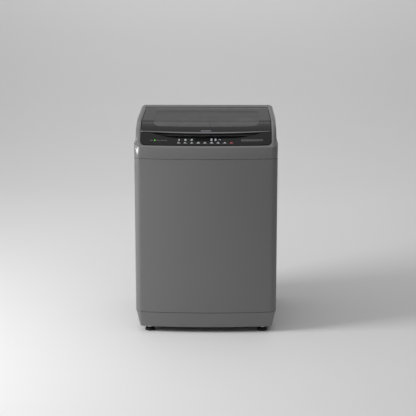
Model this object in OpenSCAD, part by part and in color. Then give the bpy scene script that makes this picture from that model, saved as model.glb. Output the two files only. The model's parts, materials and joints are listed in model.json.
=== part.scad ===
// Top load washing machine, with its suspended tub, basket, drive and lid.
// Origin on the floor under the middle of the machine, front towards -Y.

/* [Overall] */
// Width across the cabinet sides
cabinet_w = 600; // [595:5:620]
// Depth from the middle of the bowed front to the ends of the hose connectors
overall_d = 600; // [600:5:620]
// Height of the rear edge of the top
overall_h = 905; // [900:5:915]
// How far the middle of the front stands out from its corners
front_bow = 17; // [14:1:20]
// Radius of the front corners, seen from above
corner_r = 31; // [29:1:36]

/* [Cabinet] */
// Thickness of the steel wrap
sheet_t = 1; // [0.8:0.1:1.2]
// Height of the plinth's lower edge above the floor
foot_gap = 26; // [24:1:28]
// How far the plinth's lower edge is set in
plinth_inset = 17; // [14:1:18]
// Radius of a levelling foot's pad
foot_r = 21; // [18:1:22]

/* [Top cover] */
// Thickness of the moulded walls
wall = 3; // [2.5:0.5:3]
// Radius of the curved front under the lid
front_curve_r = 132.8; // [130:0.1:134]
// Rise of the flat top towards the rear, in degrees
top_slope = 0.65; // [0.5:0.05:0.8]
// Half the width of the opening between the rails
opening_half = 274; // [270:1:275]
// Radius of the mouth above the basket
mouth_r = 200; // [195:1:202]

/* [Lid] */
// Thickness of the glass
glass_t = 4; // [3.5:0.5:4]
// Thickness of the whole lid
lid_t = 16; // [15:0.5:17]
// Gap down each side of the lid
lid_gap = 2.5; // [2:0.5:3]

/* [Controls] */
// Number of keys along the panel
key_count = 9; // [9:1:9]
// Distance from key to key
key_pitch = 27.4; // [26:0.1:28]
// Width of a key
key_w = 19; // [16:1:20]
// Height of a key
key_h = 9; // [8:0.5:9]

/* [Tub and basket] */
// Outer radius of the tub's wall
tub_r = 262; // [258:1:262]
// Outer radius of the basket's wall
basket_r = 238; // [236:1:238]
// Radius of the pulsator
pulsator_r = 168; // [164:1:168]

/* [Drive] */
// Distance from the tub's axis to the motor's axis
motor_offset = 150; // [150:1:154]
// Groove radius of the large pulley
pulley_groove_r = 82; // [80:1:84]
// Groove radius of the motor pulley
motor_groove_r = 22; // [20:1:22]

/* [Hidden] */
$fn = 96;

half_w = cabinet_w / 2;
front_y = -overall_d / 2;
rear_y = overall_d / 2 - 12;        // rear of the top cover
cabinet_rear_y = overall_d / 2 - 22; // rear of the steel wrap
plinth_top_z = 94;
shell_z0 = 95.2;
shell_z1 = 757.6;
cover_z = 759;
panel_z = 812.4;                    // lower edge of the control panel
rear_corner_r = 20;
run_gap = 0.05;                     // radial clearance of a shaft in its bearing
join_gap = 0.4;                     // glue or seal line between curved pieces

// Plan outline of the front: one large bow, tangent to both corners
corner_x = half_w - corner_r;
bow_r = (corner_x * corner_x + front_bow * front_bow) / (2 * front_bow);
bow_y = front_y + bow_r;
corner_y = bow_y - sqrt(pow(bow_r - corner_r, 2) - corner_x * corner_x);
bow_a = atan2(corner_y - bow_y, corner_x);

// Side outline of the top: a curved front that runs into a nearly flat top
curve_y = front_y + 142;
curve_end_a = 90 + top_slope;
curve_z = top_z(curve_y - front_curve_r * sin(top_slope)) - front_curve_r * cos(top_slope);
panel_a = 160.2;                    // lower edge of the panel, as an angle on the curve
recess_a = 145.8;                   // lower edge of the hand recess
trim_a = 135;                       // front edge of the lid
glass_a = 130.8;                    // front edge of the glass
key_a = 154.3;                      // row of keys
display_a = 148.6;                  // row of the display
smile_flat = 110;                   // half the flat bottom of the hand recess
smile_r = 340;                      // radius of its rising ends
smile_sweep = 20.2;

// Tub, basket and suspension
tub_y = -6;
tub_z = 235;
tub_top_z = 752;
basket_z = 256;
deck_drop = 30;                     // depth of the inner deck under the top
mouth_z = 795;
mouth_flat_y = 150;
rod_x = half_w - 72;
rod_dy = 222;
bracket_z = 738;
spring_z0 = 200;
spring_z1 = 285;

// Lid hinge, in the middle of the lid's thickness
hinge_y = 192;
hinge_z = top_z(hinge_y) - lid_t / 2;
lid_half = opening_half - lid_gap;
deck_y = 222;                       // front edge of the rear deck
window_half = 222;
window_y0 = -222;
window_y1 = 106;

// Detergent drawer, behind the flat side of the mouth
drawer_x = -55;
drawer_w = 122;
drawer_z0 = 804.5;
drawer_h = 54;
drawer_d = 104;

body_grey = [0.42, 0.42, 0.43];
trim_grey = [0.62, 0.62, 0.63];
gloss_black = [0.05, 0.05, 0.06];
dark_grey = [0.2, 0.2, 0.21];
pale_plastic = [0.8, 0.81, 0.8];
steel = [0.7, 0.71, 0.72];
zinc = [0.6, 0.61, 0.62];
rubber = [0.09, 0.09, 0.09];

// ---- Outlines ----

function arc(cx, cy, r, a0, a1, n, k0 = 0, cut = 0) =
    [for (k = [k0:n - cut]) let (a = a0 + (a1 - a0) * k / n) [cx + r * cos(a), cy + r * sin(a)]];

function reversed(points) = [for (k = [len(points) - 1:-1:0]) points[k]];

// Height of the flat part of the top at depth y
function top_z(y) = overall_h - (rear_y - y) * tan(top_slope);

// Plan outline of the cabinet, moved in by i, with its rear edge at rear
function plan(i, rear) =
    let (rr = max(rear_corner_r - i, 2), rx = half_w - i - rr, ry = rear - i - rr)
    concat(
        arc(0, bow_y, bow_r - i, -180 - bow_a, bow_a, 12),
        arc(corner_x, corner_y, corner_r - i, bow_a, 0, 6, 1),
        arc(rx, ry, rr, 0, 90, 4),
        arc(-rx, ry, rr, 90, 180, 4),
        arc(-corner_x, corner_y, corner_r - i, 180, 180 - bow_a, 6, 0, 1));

// Points on the curved front at depth i, from angle a to where the flat top starts
function curve(i, a) =
    arc(curve_y, curve_z, front_curve_r - i, a, curve_end_a, max(2, ceil((a - curve_end_a) / 4)));

// Side outline of a shell between depths i0 and i1, from angle a back to y1
function band(i0, i1, a, y1) =
    concat(
        curve(i0, a),
        [[y1, top_z(y1) - i0 / cos(top_slope)], [y1, top_z(y1) - i1 / cos(top_slope)]],
        reversed(curve(i1, a)));

// Side outline of the same kind that stays on the curved front
function curved_band(i0, i1, a0, a1) =
    concat(
        arc(curve_y, curve_z, front_curve_r - i0, a0, a1, 4),
        arc(curve_y, curve_z, front_curve_r - i1, a1, a0, 4));

// Side outline of everything under depth i, down to z0
function under(i, a, z0) =
    concat(
        curve(i, a),
        [[rear_y - i, top_z(rear_y) - i], [rear_y - i, z0]],
        [[curve(i, a)[0][0], z0]]);

// Side outline of the whole top cover, moved in by i
function cover_side(i, z0) =
    concat([[front_y + i, z0], [front_y + 8 + i, panel_z - 7]], under(i, panel_a, z0));

function round_rect(w, h, r) =
    concat(
        arc(w / 2 - r, h / 2 - r, r, 0, 90, 4), arc(r - w / 2, h / 2 - r, r, 90, 180, 4),
        arc(r - w / 2, r - h / 2, r, 180, 270, 4), arc(w / 2 - r, r - h / 2, r, 270, 360, 4));

// Lower edge of the hand recess: flat in the middle, rising at both ends, drop lower by d
function smile(d) =
    concat(
        arc(-smile_flat, smile_r, smile_r + d, 270 - smile_sweep, 270, 6),
        arc(smile_flat, smile_r, smile_r + d, 270, 270 + smile_sweep, 6));

// Loop round two pulleys whose centres are motor_offset apart
function belt_loop(big_r, small_r) =
    let (a = acos((big_r - small_r) / motor_offset))
    concat(
        arc(0, 0, big_r, 90 + a, 450 - a, 60),
        arc(0, motor_offset, small_r, 90 - a, 90 + a, 20));

// ---- Building blocks ----

module side_prism(points, x0, x1)
    translate([x0, 0, 0]) rotate([90, 0, 90]) linear_extrude(x1 - x0) polygon(points);

module plan_prism(i, z0, z1, rear)
    translate([0, 0, z0]) linear_extrude(z1 - z0) polygon(plan(i, rear));

module tube(r_out, r_in, z0, z1)
    translate([0, 0, z0]) rotate_extrude()
        polygon([[r_in, 0], [r_out, 0], [r_out, z1 - z0], [r_in, z1 - z0]]);

module post(r, z0, z1)
    translate([0, 0, z0]) cylinder(r = r, h = z1 - z0);

// A post that runs along Y from y0 to y1
module rear_post(r, y0, y1)
    translate([0, y0, 0]) rotate([-90, 0, 0]) cylinder(r = r, h = y1 - y0);

module on_tub_axis()
    translate([0, tub_y, 0]) children();

module on_motor_axis()
    translate([0, tub_y + motor_offset, 0]) children();

module at_each_rod()
    for (sx = [-1, 1], sy = [-1, 1])
        translate([sx * rod_x, tub_y + sy * rod_dy, 0]) children();

// Local frame on the curved front: x across, y up the panel, z out of it
module on_panel(x, a, depth = 0)
    translate([x, curve_y + (front_curve_r - depth) * cos(a), curve_z + (front_curve_r - depth) * sin(a)])
        rotate([a - 90, 0, 0]) children();

module slab(w, h, r, z0, z1)
    translate([0, 0, z0]) linear_extrude(z1 - z0) polygon(round_rect(w, h, r));

// The D shape of the mouth
module mouth_form(r, flat_y, z0, z1)
    intersection() {
        on_tub_axis() post(r, z0, z1);
        translate([-r - 5, -2 * r, z0 - 1]) cube([2 * r + 10, 2 * r + flat_y, z1 - z0 + 2]);
    }

// ---- Cabinet ----

rear_screw_x = half_w - 29;
rear_screw_z = [for (k = [0:4]) 112 + k * 158];
gland_x = -200;
gland_z = 690;
spigot_x = -190;
spigot_z = 150;
spigot_r = 16;
gland_r = 9;

module rear_screw_places()
    for (sx = [-1, 1], z = rear_screw_z) translate([sx * rear_screw_x, 0, z]) children();

module cabinet_shell() color(body_grey)
    difference() {
        plan_prism(0, shell_z0, shell_z1, cabinet_rear_y);
        plan_prism(sheet_t, shell_z0 - 1, shell_z1 + 1, cabinet_rear_y);
        translate([38 - half_w, cabinet_rear_y - 10, shell_z0 - 1])
            cube([cabinet_w - 76, 20, shell_z1 - shell_z0 + 2]);
        rear_screw_places() rear_post(2.1, cabinet_rear_y - 5, cabinet_rear_y + 5);
    }

module rear_panel() color(zinc)
    difference() {
        union() {
            translate([12 - half_w, cabinet_rear_y, shell_z0 + 2])
                cube([cabinet_w - 24, 1.2, shell_z1 - shell_z0 - 4]);
            for (k = [0:3])
                translate([-180, cabinet_rear_y + 0.6, 235 + k * 120]) cube([360, 3, 26]);
        }
        rear_screw_places() rear_post(2.1, cabinet_rear_y - 5, cabinet_rear_y + 5);
        translate([gland_x, 0, gland_z]) rear_post(gland_r, cabinet_rear_y - 5, cabinet_rear_y + 5);
        translate([spigot_x, 0, spigot_z]) rear_post(spigot_r, cabinet_rear_y - 5, cabinet_rear_y + 5);
    }

module rear_panel_screws() color(steel)
    rear_screw_places() {
        rear_post(2.1, cabinet_rear_y - 8, cabinet_rear_y + 1.2);
        rear_post(4.5, cabinet_rear_y + 1.2, cabinet_rear_y + 3.6);
    }

// Tapered form of the plinth, moved in by i
module plinth_form(i) {
    hull() {
        plan_prism(1.5 + i, plinth_top_z - 1, plinth_top_z, cabinet_rear_y);
        plan_prism(plinth_inset + i, foot_gap, foot_gap + 1, cabinet_rear_y);
    }
}

foot_x = half_w - 58;
foot_front_y = front_y + 68;
foot_rear_y = cabinet_rear_y - 58;
foot_plate_z = 42;

module at_each_foot()
    for (sx = [-1, 1], y = [foot_front_y, foot_rear_y]) translate([sx * foot_x, y, 0]) children();

module base_plinth() color(body_grey)
    difference() {
        union() {
            difference() {
                plinth_form(0);
                translate([0, 0, 0.5]) scale([1, 1, 1.02]) plinth_form(wall);
                plan_prism(plinth_inset + wall, foot_gap - 1, foot_gap + 3, cabinet_rear_y);
            }
            intersection() {
                plinth_form(1);
                at_each_foot() translate([-48, -48, foot_plate_z]) cube([96, 96, 6]);
            }
            at_each_foot() post(13, foot_plate_z - 8, foot_plate_z + 14);
        }
        at_each_foot() post(5 + run_gap, foot_plate_z - 10, foot_plate_z + 16);
    }

module bottom_guard() color(dark_grey)
    difference() {
        plan_prism(plinth_inset + 3.5, foot_gap + 6, foot_gap + 8, cabinet_rear_y);
        at_each_foot() post(foot_r + 6, foot_gap, foot_gap + 12);
        for (k = [-3:3])
            translate([-130, k * 44 - 6, foot_gap]) cube([260, 12, 12]);
    }

module foot(sx, y) color(rubber)
    translate([sx * foot_x, y, 0]) {
        post(foot_r, 0, 10);
        translate([0, 0, 10]) cylinder(r1 = foot_r, r2 = 14, h = 4);
        translate([0, 0, 14]) cylinder(r = 12, h = 7, $fn = 6);
        post(5, 21, 70);
    }

// ---- Top cover ----

module top_cover() color(body_grey) {
    difference() {
        intersection() {
            plan_prism(0, cover_z, overall_h + 5, rear_y);
            side_prism(cover_side(0, cover_z - 2), -half_w - 5, half_w + 5);
        }
        intersection() {
            plan_prism(wall, cover_z - 1, overall_h + 5, rear_y);
            side_prism(cover_side(wall, cover_z - 4), -half_w - 5, half_w + 5);
        }
        translate([-opening_half, front_y - 5, panel_z]) cube([2 * opening_half, overall_d + 10, 120]);
    }
    for (sx = [-1, 1])
        difference() {
            side_prism(
                band(wall - 1, deck_drop + 12, panel_a - 4, rear_y - wall),
                sx * (opening_half + wall / 2) - wall / 2,
                sx * (opening_half + wall / 2) + wall / 2);
            translate([sx * (opening_half - 2), hinge_y, hinge_z])
                rotate([0, sx * 90, 0]) cylinder(r = 4 + run_gap, h = 8);
        }
    difference() {
        plan_prism(wall - 0.5, cover_z, cover_z + wall, rear_y);
        plan_prism(24, cover_z - 1, cover_z + wall + 1, rear_y);
    }
}

drawer_slot_w = drawer_w + 3;
drawer_slot_z0 = drawer_z0 - 2;
drawer_slot_h = drawer_h + 4.5;

// The deck under the lid, and the mouth's collar that sits in it
module inner_frame() color(dark_grey) {
    difference() {
        side_prism(band(deck_drop, deck_drop + wall, 158, rear_y - 4), -opening_half, opening_half);
        mouth_form(mouth_r + wall + 0.1, mouth_flat_y + wall + 0.1, mouth_z - 5, overall_h + 5);
    }
    difference() {
        intersection() {
            mouth_form(mouth_r + wall, mouth_flat_y + wall, mouth_z, overall_h);
            side_prism(under(deck_drop, 178, cover_z), -half_w, half_w);
        }
        mouth_form(mouth_r, mouth_flat_y, mouth_z - 5, overall_h + 5);
        translate([drawer_x - drawer_slot_w / 2, mouth_flat_y - 5, drawer_slot_z0])
            cube([drawer_slot_w, wall + 10, drawer_slot_h]);
    }
}

inlet_x = 150;
inlet_z = 845;
inlet_r = 13.2;

module rear_deck() color(body_grey)
    difference() {
        union() {
            side_prism(
                [
                    [deck_y, top_z(deck_y) - 18], [deck_y + wall, top_z(deck_y) - 18],
                    [deck_y + wall, top_z(deck_y) - wall], [rear_y - wall, top_z(rear_y) - wall],
                    [rear_y - wall, panel_z], [rear_y, panel_z],
                    [rear_y, top_z(rear_y)], [deck_y, top_z(deck_y)]
                ],
                -opening_half + 0.3, opening_half - 0.3);
        }
        translate([inlet_x, 0, inlet_z]) rear_post(inlet_r + 1, rear_y - 10, rear_y + 10);
    }

// ---- Controls ----

function key_x(k) = (k - (key_count + 1) / 2) * key_pitch - 4;

display_w = 114;
display_x = 9;
display_h = 11;

module control_panel() color(gloss_black)
    difference() {
        union() {
            side_prism(curved_band(0, wall, panel_a - 0.9, trim_a + 0.7),
                0.6 - opening_half, opening_half - 0.6);
            on_panel(0, recess_a) translate([0, 0, -26]) linear_extrude(25)
                polygon(concat(smile(wall), reversed(smile(0))));
        }
        on_panel(0, recess_a) translate([0, 0, -40]) linear_extrude(60)
            polygon(concat(smile(0), [[smile(0)[13][0], 60], [smile(0)[0][0], 60]]));
        for (k = [1:key_count])
            on_panel(key_x(k), key_a) slab(key_w + 0.8, key_h + 0.8, 2.4, -10, 10);
        on_panel(display_x, display_a) slab(display_w, display_h, 2, -10, 10);
    }

module display_lens() color([0.1, 0.1, 0.12])
    on_panel(display_x, display_a) slab(display_w, display_h, 2, -wall, -0.2);

module key_cap(k) color(k == key_count ? [0.6, 0.15, 0.15] : gloss_black)
    on_panel(key_x(k), key_a) slab(key_w, key_h, 2, -wall - 1, 0);

module control_board() color([0.12, 0.35, 0.2])
    on_panel(-4, 151.5) {
        translate([-150, -17, -12]) cube([300, 24.5, 1.6]);
        translate([-120, -12, -20]) cube([46, 18.5, 8]);
        translate([-50, -10, -17]) cube([18, 16, 5]);
        translate([40, -12, -22]) cube([34, 18.5, 10]);
        translate([92, -8, -18]) cube([24, 12, 6]);
        for (k = [-1, 1]) translate([k * 140, 0, -24]) cylinder(r = 4, h = 12);
    }

// ---- Water, detergent and sensing ----

module inlet_valve() color(pale_plastic)
    translate([inlet_x, 0, inlet_z]) {
        difference() {
            union() {
                rear_post(inlet_r, rear_y - 8, overall_d / 2);
                rear_post(17, rear_y - 20, rear_y - 8);
            }
            rear_post(9, rear_y - 12, overall_d / 2 + 5);
        }
        translate([-28, rear_y - 62, -20]) cube([56, 42, 40]);
        translate([-16, rear_y - 58, 20]) cube([32, 34, 4.4]);
        translate([drawer_x + drawer_slot_w / 2 + 2.5 - inlet_x, rear_y - 40, 0])
            rotate([0, 90, 0]) cylinder(r = 7, h = inlet_x - drawer_x - drawer_slot_w / 2 - 30.5);
    }

module detergent_housing() color(pale_plastic)
    difference() {
        translate([drawer_x - drawer_slot_w / 2 - 2.5, mouth_flat_y + wall, drawer_slot_z0 - 2.5])
            cube([drawer_slot_w + 5, drawer_d + 8, drawer_slot_h + 5]);
        translate([drawer_x - drawer_slot_w / 2, mouth_flat_y, drawer_slot_z0])
            cube([drawer_slot_w, drawer_d + 8.5, drawer_slot_h]);
        for (k = [-3:3])
            translate([drawer_x + k * 15 - 4, mouth_flat_y + 70, drawer_slot_z0 - 5]) cube([8, 24, 8]);
    }

module detergent_drawer() color(pale_plastic)
    translate([drawer_x, mouth_flat_y, drawer_z0]) {
        difference() {
            translate([-drawer_w / 2, 1, 0]) cube([drawer_w, drawer_d, drawer_h]);
            translate([2 - drawer_w / 2, 3, 2.5]) cube([drawer_w * 0.6 - 3, drawer_d - 4, drawer_h]);
            translate([drawer_w * 0.1 + 1, 3, 2.5]) cube([drawer_w * 0.4 - 3, drawer_d - 4, drawer_h]);
            translate([-20, 5, -1]) cube([8, 70, 6]);
        }
        difference() {
            translate([-drawer_w / 2 - 4, -4, -5]) cube([drawer_w + 8, 3.5, drawer_h + 7]);
            translate([-30, -5, drawer_h - 14]) cube([60, 10, 20]);
        }
        translate([-drawer_w / 2, -1, 0]) cube([drawer_w, 2.5, drawer_h - 14]);
    }

module pressure_switch() color(pale_plastic)
    translate([218, 244, 0]) {
        post(21, 838, 856);
        post(8, 856, 870.6);
        post(3, 826, 838);
    }

module lid_switch() color(gloss_black)
    translate([238, 148, 0]) {
        translate([-9, -16, 846]) cube([18, 32, 22]);
        translate([-3, -22, 850]) cube([6, 6, 8]);
    }

module run_capacitor() color(steel)
    translate([205, 0, 0]) {
        translate([0, cabinet_rear_y - 27, 0]) post(20, 560, 640);
        translate([-12, cabinet_rear_y - 10, 585]) cube([24, 9, 24]);
    }

module cord_gland() color(rubber)
    translate([gland_x, 0, gland_z])
        difference() {
            union() {
                rear_post(gland_r, cabinet_rear_y - 6, cabinet_rear_y + 14);
                rear_post(14, cabinet_rear_y + 1.2, cabinet_rear_y + 5);
            }
            rear_post(4.5, cabinet_rear_y - 10, cabinet_rear_y + 20);
        }

module drain_spigot() color(dark_grey)
    translate([spigot_x, 0, spigot_z])
        difference() {
            union() {
                rear_post(spigot_r, cabinet_rear_y - 12, overall_d / 2);
                rear_post(25, cabinet_rear_y + 1.2, cabinet_rear_y + 3.5);
            }
            rear_post(spigot_r - 3, cabinet_rear_y - 20, overall_d / 2 + 5);
        }

// ---- Suspension ----

module suspension_brackets() color(zinc)
    difference() {
        plan_prism(sheet_t, bracket_z, bracket_z + 4, cabinet_rear_y);
        translate([0, tub_y, bracket_z - 1]) rotate([0, 0, 45])
            translate([-292, -292, 0]) cube([584, 584, 10]);
        at_each_rod() post(7, bracket_z - 1, bracket_z + 6);
        rear_screw_places() rear_post(2.8, cabinet_rear_y - 12, cabinet_rear_y + 5);
    }

module suspension_rods() color(steel)
    at_each_rod() {
        post(22, spring_z0 - 4, spring_z0);
        post(4, spring_z0 - 0.5, bracket_z + 10);
        translate([0, 0, bracket_z + 4 + sqrt(11 * 11 - 7 * 7)]) sphere(r = 11);
    }

// One ring of the wire, at turn angle a
function coil_ring(coil_r, wire_r, z, a) =
    [for (k = [0:5]) let (b = k * 60)
        [(coil_r + wire_r * cos(b)) * cos(a), (coil_r + wire_r * cos(b)) * sin(a), z + wire_r * sin(b)]];

module coil_spring(coil_r, wire_r, z0, z1, turns) {
    steps = turns * 14;
    points = [for (s = [0:steps],
        p = coil_ring(coil_r, wire_r, z0 + (z1 - z0) * s / steps, s * 360 / 14)) p];
    sides = [for (s = [0:steps - 1], k = [0:5])
        [s * 6 + k, s * 6 + (k + 1) % 6, (s + 1) * 6 + (k + 1) % 6, (s + 1) * 6 + k]];
    ends = [[5, 4, 3, 2, 1, 0], [for (k = [0:5]) steps * 6 + k]];
    polyhedron(points, concat(ends, [for (f = sides) f]), convexity = 10);
}

module suspension_springs() color(steel)
    at_each_rod() coil_spring(16.5, 2.2, spring_z0 + 2.5, spring_z1 - 2.5, 7);

module damper_cups() color(dark_grey)
    at_each_rod() {
        tube(27, 6, spring_z1, spring_z1 + 4);
        tube(27, 24.5, spring_z1 - 45, spring_z1 + 1);
    }

// ---- Lid ----

module lid_frame() color(gloss_black)
    difference() {
        union() {
            side_prism(band(glass_t + join_gap, lid_t, trim_a - 0.1, hinge_y), -lid_half, lid_half);
            translate([-lid_half, hinge_y, hinge_z]) rotate([0, 90, 0])
                cylinder(r = lid_t / 2, h = 2 * lid_half);
        }
        translate([0, (window_y0 + window_y1) / 2, overall_h - 100])
            linear_extrude(200) polygon(round_rect(2 * window_half, window_y1 - window_y0, 26));
        for (sx = [-1, 1])
            translate([sx * (lid_half - 24), hinge_y, hinge_z]) rotate([0, sx * 90, 0])
                cylinder(r = 4, h = 30);
    }

module lid_glass() color([0.12, 0.12, 0.13, 0.6])
    side_prism(band(0, glass_t, glass_a, hinge_y - 9), -lid_half, lid_half);

module lid_trim() color(trim_grey) {
    side_prism(curved_band(0, glass_t, trim_a + 0.4, glass_a + 0.1), -lid_half, lid_half);
    side_prism(curved_band(glass_t - 1, 12, trim_a + 0.4, trim_a), -lid_half, lid_half);
}

module hinge_pins() color(steel)
    for (sx = [-1, 1])
        translate([sx * (lid_half - 24), hinge_y, hinge_z]) rotate([0, sx * 90, 0]) cylinder(r = 4, h = 36);

// ---- Tub ----

bolt_r = 115;
bolt_angles = [for (k = [0:7]) k * 45];
drain_x = -168;

// Outline of a suspension ear: a tongue from the tub's wall with a round end under the rod
ear_outline = concat(
    [[tub_r - 10, -24]], arc(norm([rod_x, rod_dy]), 0, 27, -115, 115, 14), [[tub_r - 10, 24]]);

module at_each_bolt()
    on_tub_axis() for (a = bolt_angles) rotate([0, 0, a]) translate([bolt_r, 0, 0]) children();

module outer_tub() color(pale_plastic)
    difference() {
        union() {
            on_tub_axis() rotate_extrude($fn = 180) polygon([
                [32, tub_z], [tub_r, tub_z], [tub_r, 395], [tub_r + 6, 395], [tub_r + 6, 401],
                [tub_r, 401], [tub_r, 555], [tub_r + 6, 555], [tub_r + 6, 561], [tub_r, 561],
                [tub_r, tub_top_z], [tub_r - 4, tub_top_z], [tub_r - 4, tub_z + 4],
                [40, tub_z + 4], [40, tub_z + 9], [32, tub_z + 9]]);
            at_each_bolt() post(9, tub_z, tub_z + 12.2);
            difference() {
                for (sx = [-1, 1], sy = [-1, 1])
                    translate([0, tub_y, spring_z1 + 4]) rotate([0, 0, atan2(sy * rod_dy, sx * rod_x)])
                        linear_extrude(12) polygon(ear_outline);
                on_tub_axis() post(tub_r - 2, spring_z1, spring_z1 + 20);
            }
        }
        at_each_rod() post(9, spring_z1, spring_z1 + 20);
        at_each_bolt() post(4, tub_z - 5, tub_z + 10);
        translate([drain_x, tub_y, 0]) post(16, tub_z - 5, tub_z + 10);
    }

module tub_ring() color(pale_plastic)
    on_tub_axis() rotate_extrude($fn = 180) polygon([
        [222, 758], [225, 758], [225, 764], [tub_r - 4, 764], [tub_r - 4, tub_top_z],
        [tub_r + 0.3, tub_top_z], [tub_r + 0.3, 740], [tub_r + 3.5, 740], [tub_r + 3.5, 768], [222, 768]]);

plate_z = 229;

module tub_base_plate() color(zinc)
    difference() {
        union() {
            on_tub_axis() {
                post(142, plate_z, tub_z);
                for (a = [45:90:315])
                    rotate([0, 0, a]) translate([0, -35, plate_z]) cube([228, 70, tub_z - plate_z]);
                translate([-78, 0, plate_z]) cube([156, 232, tub_z - plate_z]);
            }
        }
        on_tub_axis() post(40, plate_z - 5, tub_z + 5);
        at_each_bolt() post(4, plate_z - 5, tub_z + 5);
        on_motor_axis() post(20, plate_z - 5, tub_z + 5);
    }

module tub_bolts() color(steel)
    at_each_bolt() {
        post(4, plate_z - 0.5, tub_z + 10);
        translate([0, 0, plate_z - 5.5]) cylinder(r = 7.5, h = 5.5, $fn = 6);
    }

module shaft_seal() color(rubber)
    on_tub_axis() tube(32, 22 + run_gap, tub_z, tub_z + 8);

module gearbox_housing() color(zinc)
    on_tub_axis() rotate_extrude() polygon([
        [10 + run_gap, 146], [24, 146], [24, 150], [72, 150], [72, plate_z - 6], [95, plate_z - 6],
        [95, plate_z], [22 + run_gap, plate_z], [22 + run_gap, 212], [69, 212], [69, 154],
        [10 + run_gap, 154]]);

module motor_housing() color(zinc)
    on_motor_axis() {
        rotate_extrude() polygon([
            [6 + run_gap, 144], [18, 144], [18, 148], [60, 148], [60, 219], [6 + run_gap, 219],
            [6 + run_gap, 211], [46, 211], [46, 154], [6 + run_gap, 154]]);
        for (a = [45:90:315])
            rotate([0, 0, a]) translate([52, -12, 214]) cube([24, 24, 5]);
    }

module motor_mounts() color(rubber)
    on_motor_axis() for (a = [45:90:315])
        rotate([0, 0, a]) translate([65, 0, 0]) tube(11, 4, 219, plate_z);

module drive_belt() color(rubber)
    on_tub_axis() translate([0, 0, 122.4]) linear_extrude(9.2)
        difference() {
            polygon(belt_loop(pulley_groove_r + 6, motor_groove_r + 6));
            polygon(belt_loop(pulley_groove_r + 0.4, motor_groove_r + 0.4));
        }

module drain_valve() color(dark_grey)
    translate([drain_x, tub_y, 0]) {
        difference() {
            union() {
                post(23, 188, tub_z);
                post(16, tub_z - 1, tub_z + 4);
                translate([0, 0, 206]) rear_post(15, 0, 62);
            }
            post(12, 194, tub_z + 10);
            translate([0, 0, 206]) rear_post(11, 0, 70);
        }
        translate([0, -20, 206]) rotate([90, 0, 0]) cylinder(r = 16, h = 34);
    }

// ---- Basket ----

module basket_wall() color(steel)
    on_tub_axis() difference() {
        tube(basket_r, basket_r - 1.2, 268, 704);
        for (row = [0:4], col = [0:15])
            translate([0, 0, 330 + row * 78]) rotate([0, 0, (col + (row % 2) / 2) * 22.5])
                translate([basket_r - 8, 0, 0]) rotate([0, 90, 0]) cylinder(r = 3, h = 14, $fn = 24);
    }

module balance_ring() color(pale_plastic)
    on_tub_axis() rotate_extrude($fn = 180) polygon([
        [206, 706], [212, 700], [basket_r - 1.4, 700], [basket_r - 1.4, 704], [basket_r + 3, 704],
        [basket_r + 3, 752], [214, 752], [206, 744]]);

module basket_base() color(pale_plastic)
    on_tub_axis() rotate_extrude($fn = 180) polygon([
        [30, basket_z], [pulsator_r + 8, basket_z], [pulsator_r + 12, 284], [basket_r - 5.4, 289],
        [basket_r - 5.4, 258], [basket_r - 1.4, 258], [basket_r - 1.4, 294], [pulsator_r + 8, 288],
        [pulsator_r + 4, 262], [30, 262]]);

module spin_shaft() color(steel)
    on_tub_axis() rotate_extrude() polygon([
        [12 + run_gap, 206], [22, 206], [22, 248], [110, 248], [110, basket_z],
        [12 + run_gap, basket_z]]);

module lint_filters() color(pale_plastic)
    on_tub_axis() for (sx = [-1, 1])
        intersection() {
            post(basket_r - 1.6, 480, 620);
            difference() {
                translate([sx * 229 - 8.5, -38, 480]) cube([17, 76, 140]);
                for (k = [-2:2])
                    translate([sx * 218 - 8, k * 14 - 4, 496]) cube([16, 8, 108]);
            }
        }

// ---- Pulsator and drive ----

module pulsator() color(pale_plastic)
    on_tub_axis() {
        rotate_extrude() polygon([
            [12, 270], [26, 270], [26, 298], [60, 294], [110, 284], [158, 278], [164, 275], [164, 270],
            [pulsator_r, 270], [pulsator_r, 277], [160, 282], [110, 288], [60, 298], [26, 304], [12, 304]]);
        intersection() {
            rotate_extrude() polygon([
                [24, 302], [34, 322], [60, 319], [120, 309], [148, 298], [158, 281], [110, 286], [60, 296]]);
            for (a = [0:60:300])
                rotate([0, 0, a]) translate([20, -8, 270]) cube([145, 16, 70]);
        }
    }

module pulsator_screw() color(steel)
    on_tub_axis() {
        post(11.6, 296, 299);
        translate([0, 0, 299]) cylinder(r = 8, h = 7, $fn = 6);
    }

module wash_shaft() color(steel)
    on_tub_axis() rotate_extrude() polygon([
        [0, 192], [40, 192], [40, 200], [12, 200], [12, 296], [0, 296]]);

module drive_pulley() color(zinc)
    on_tub_axis() rotate_extrude($fn = 120) polygon([
        [0, 110], [10, 110], [10, 118], [20, 118], [20, 124], [76, 124], [76, 118],
        [pulley_groove_r + 8, 118], [pulley_groove_r + 8, 122], [pulley_groove_r, 122],
        [pulley_groove_r, 132], [pulley_groove_r + 8, 132], [pulley_groove_r + 8, 136], [76, 136],
        [76, 130], [20, 130], [20, 140], [10, 140], [10, 178], [14, 178], [14, 188], [0, 188]]);

module motor_rotor() color(steel)
    on_motor_axis() rotate_extrude() polygon([
        [0, 112], [6, 112], [6, 118], [motor_groove_r + 8, 118], [motor_groove_r + 8, 122],
        [motor_groove_r, 122], [motor_groove_r, 132], [motor_groove_r + 8, 132],
        [motor_groove_r + 8, 136], [6, 136], [6, 162], [41, 162], [41, 202], [6, 202], [6, 216],
        [0, 216]]);

// ---- Parts list ----

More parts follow.
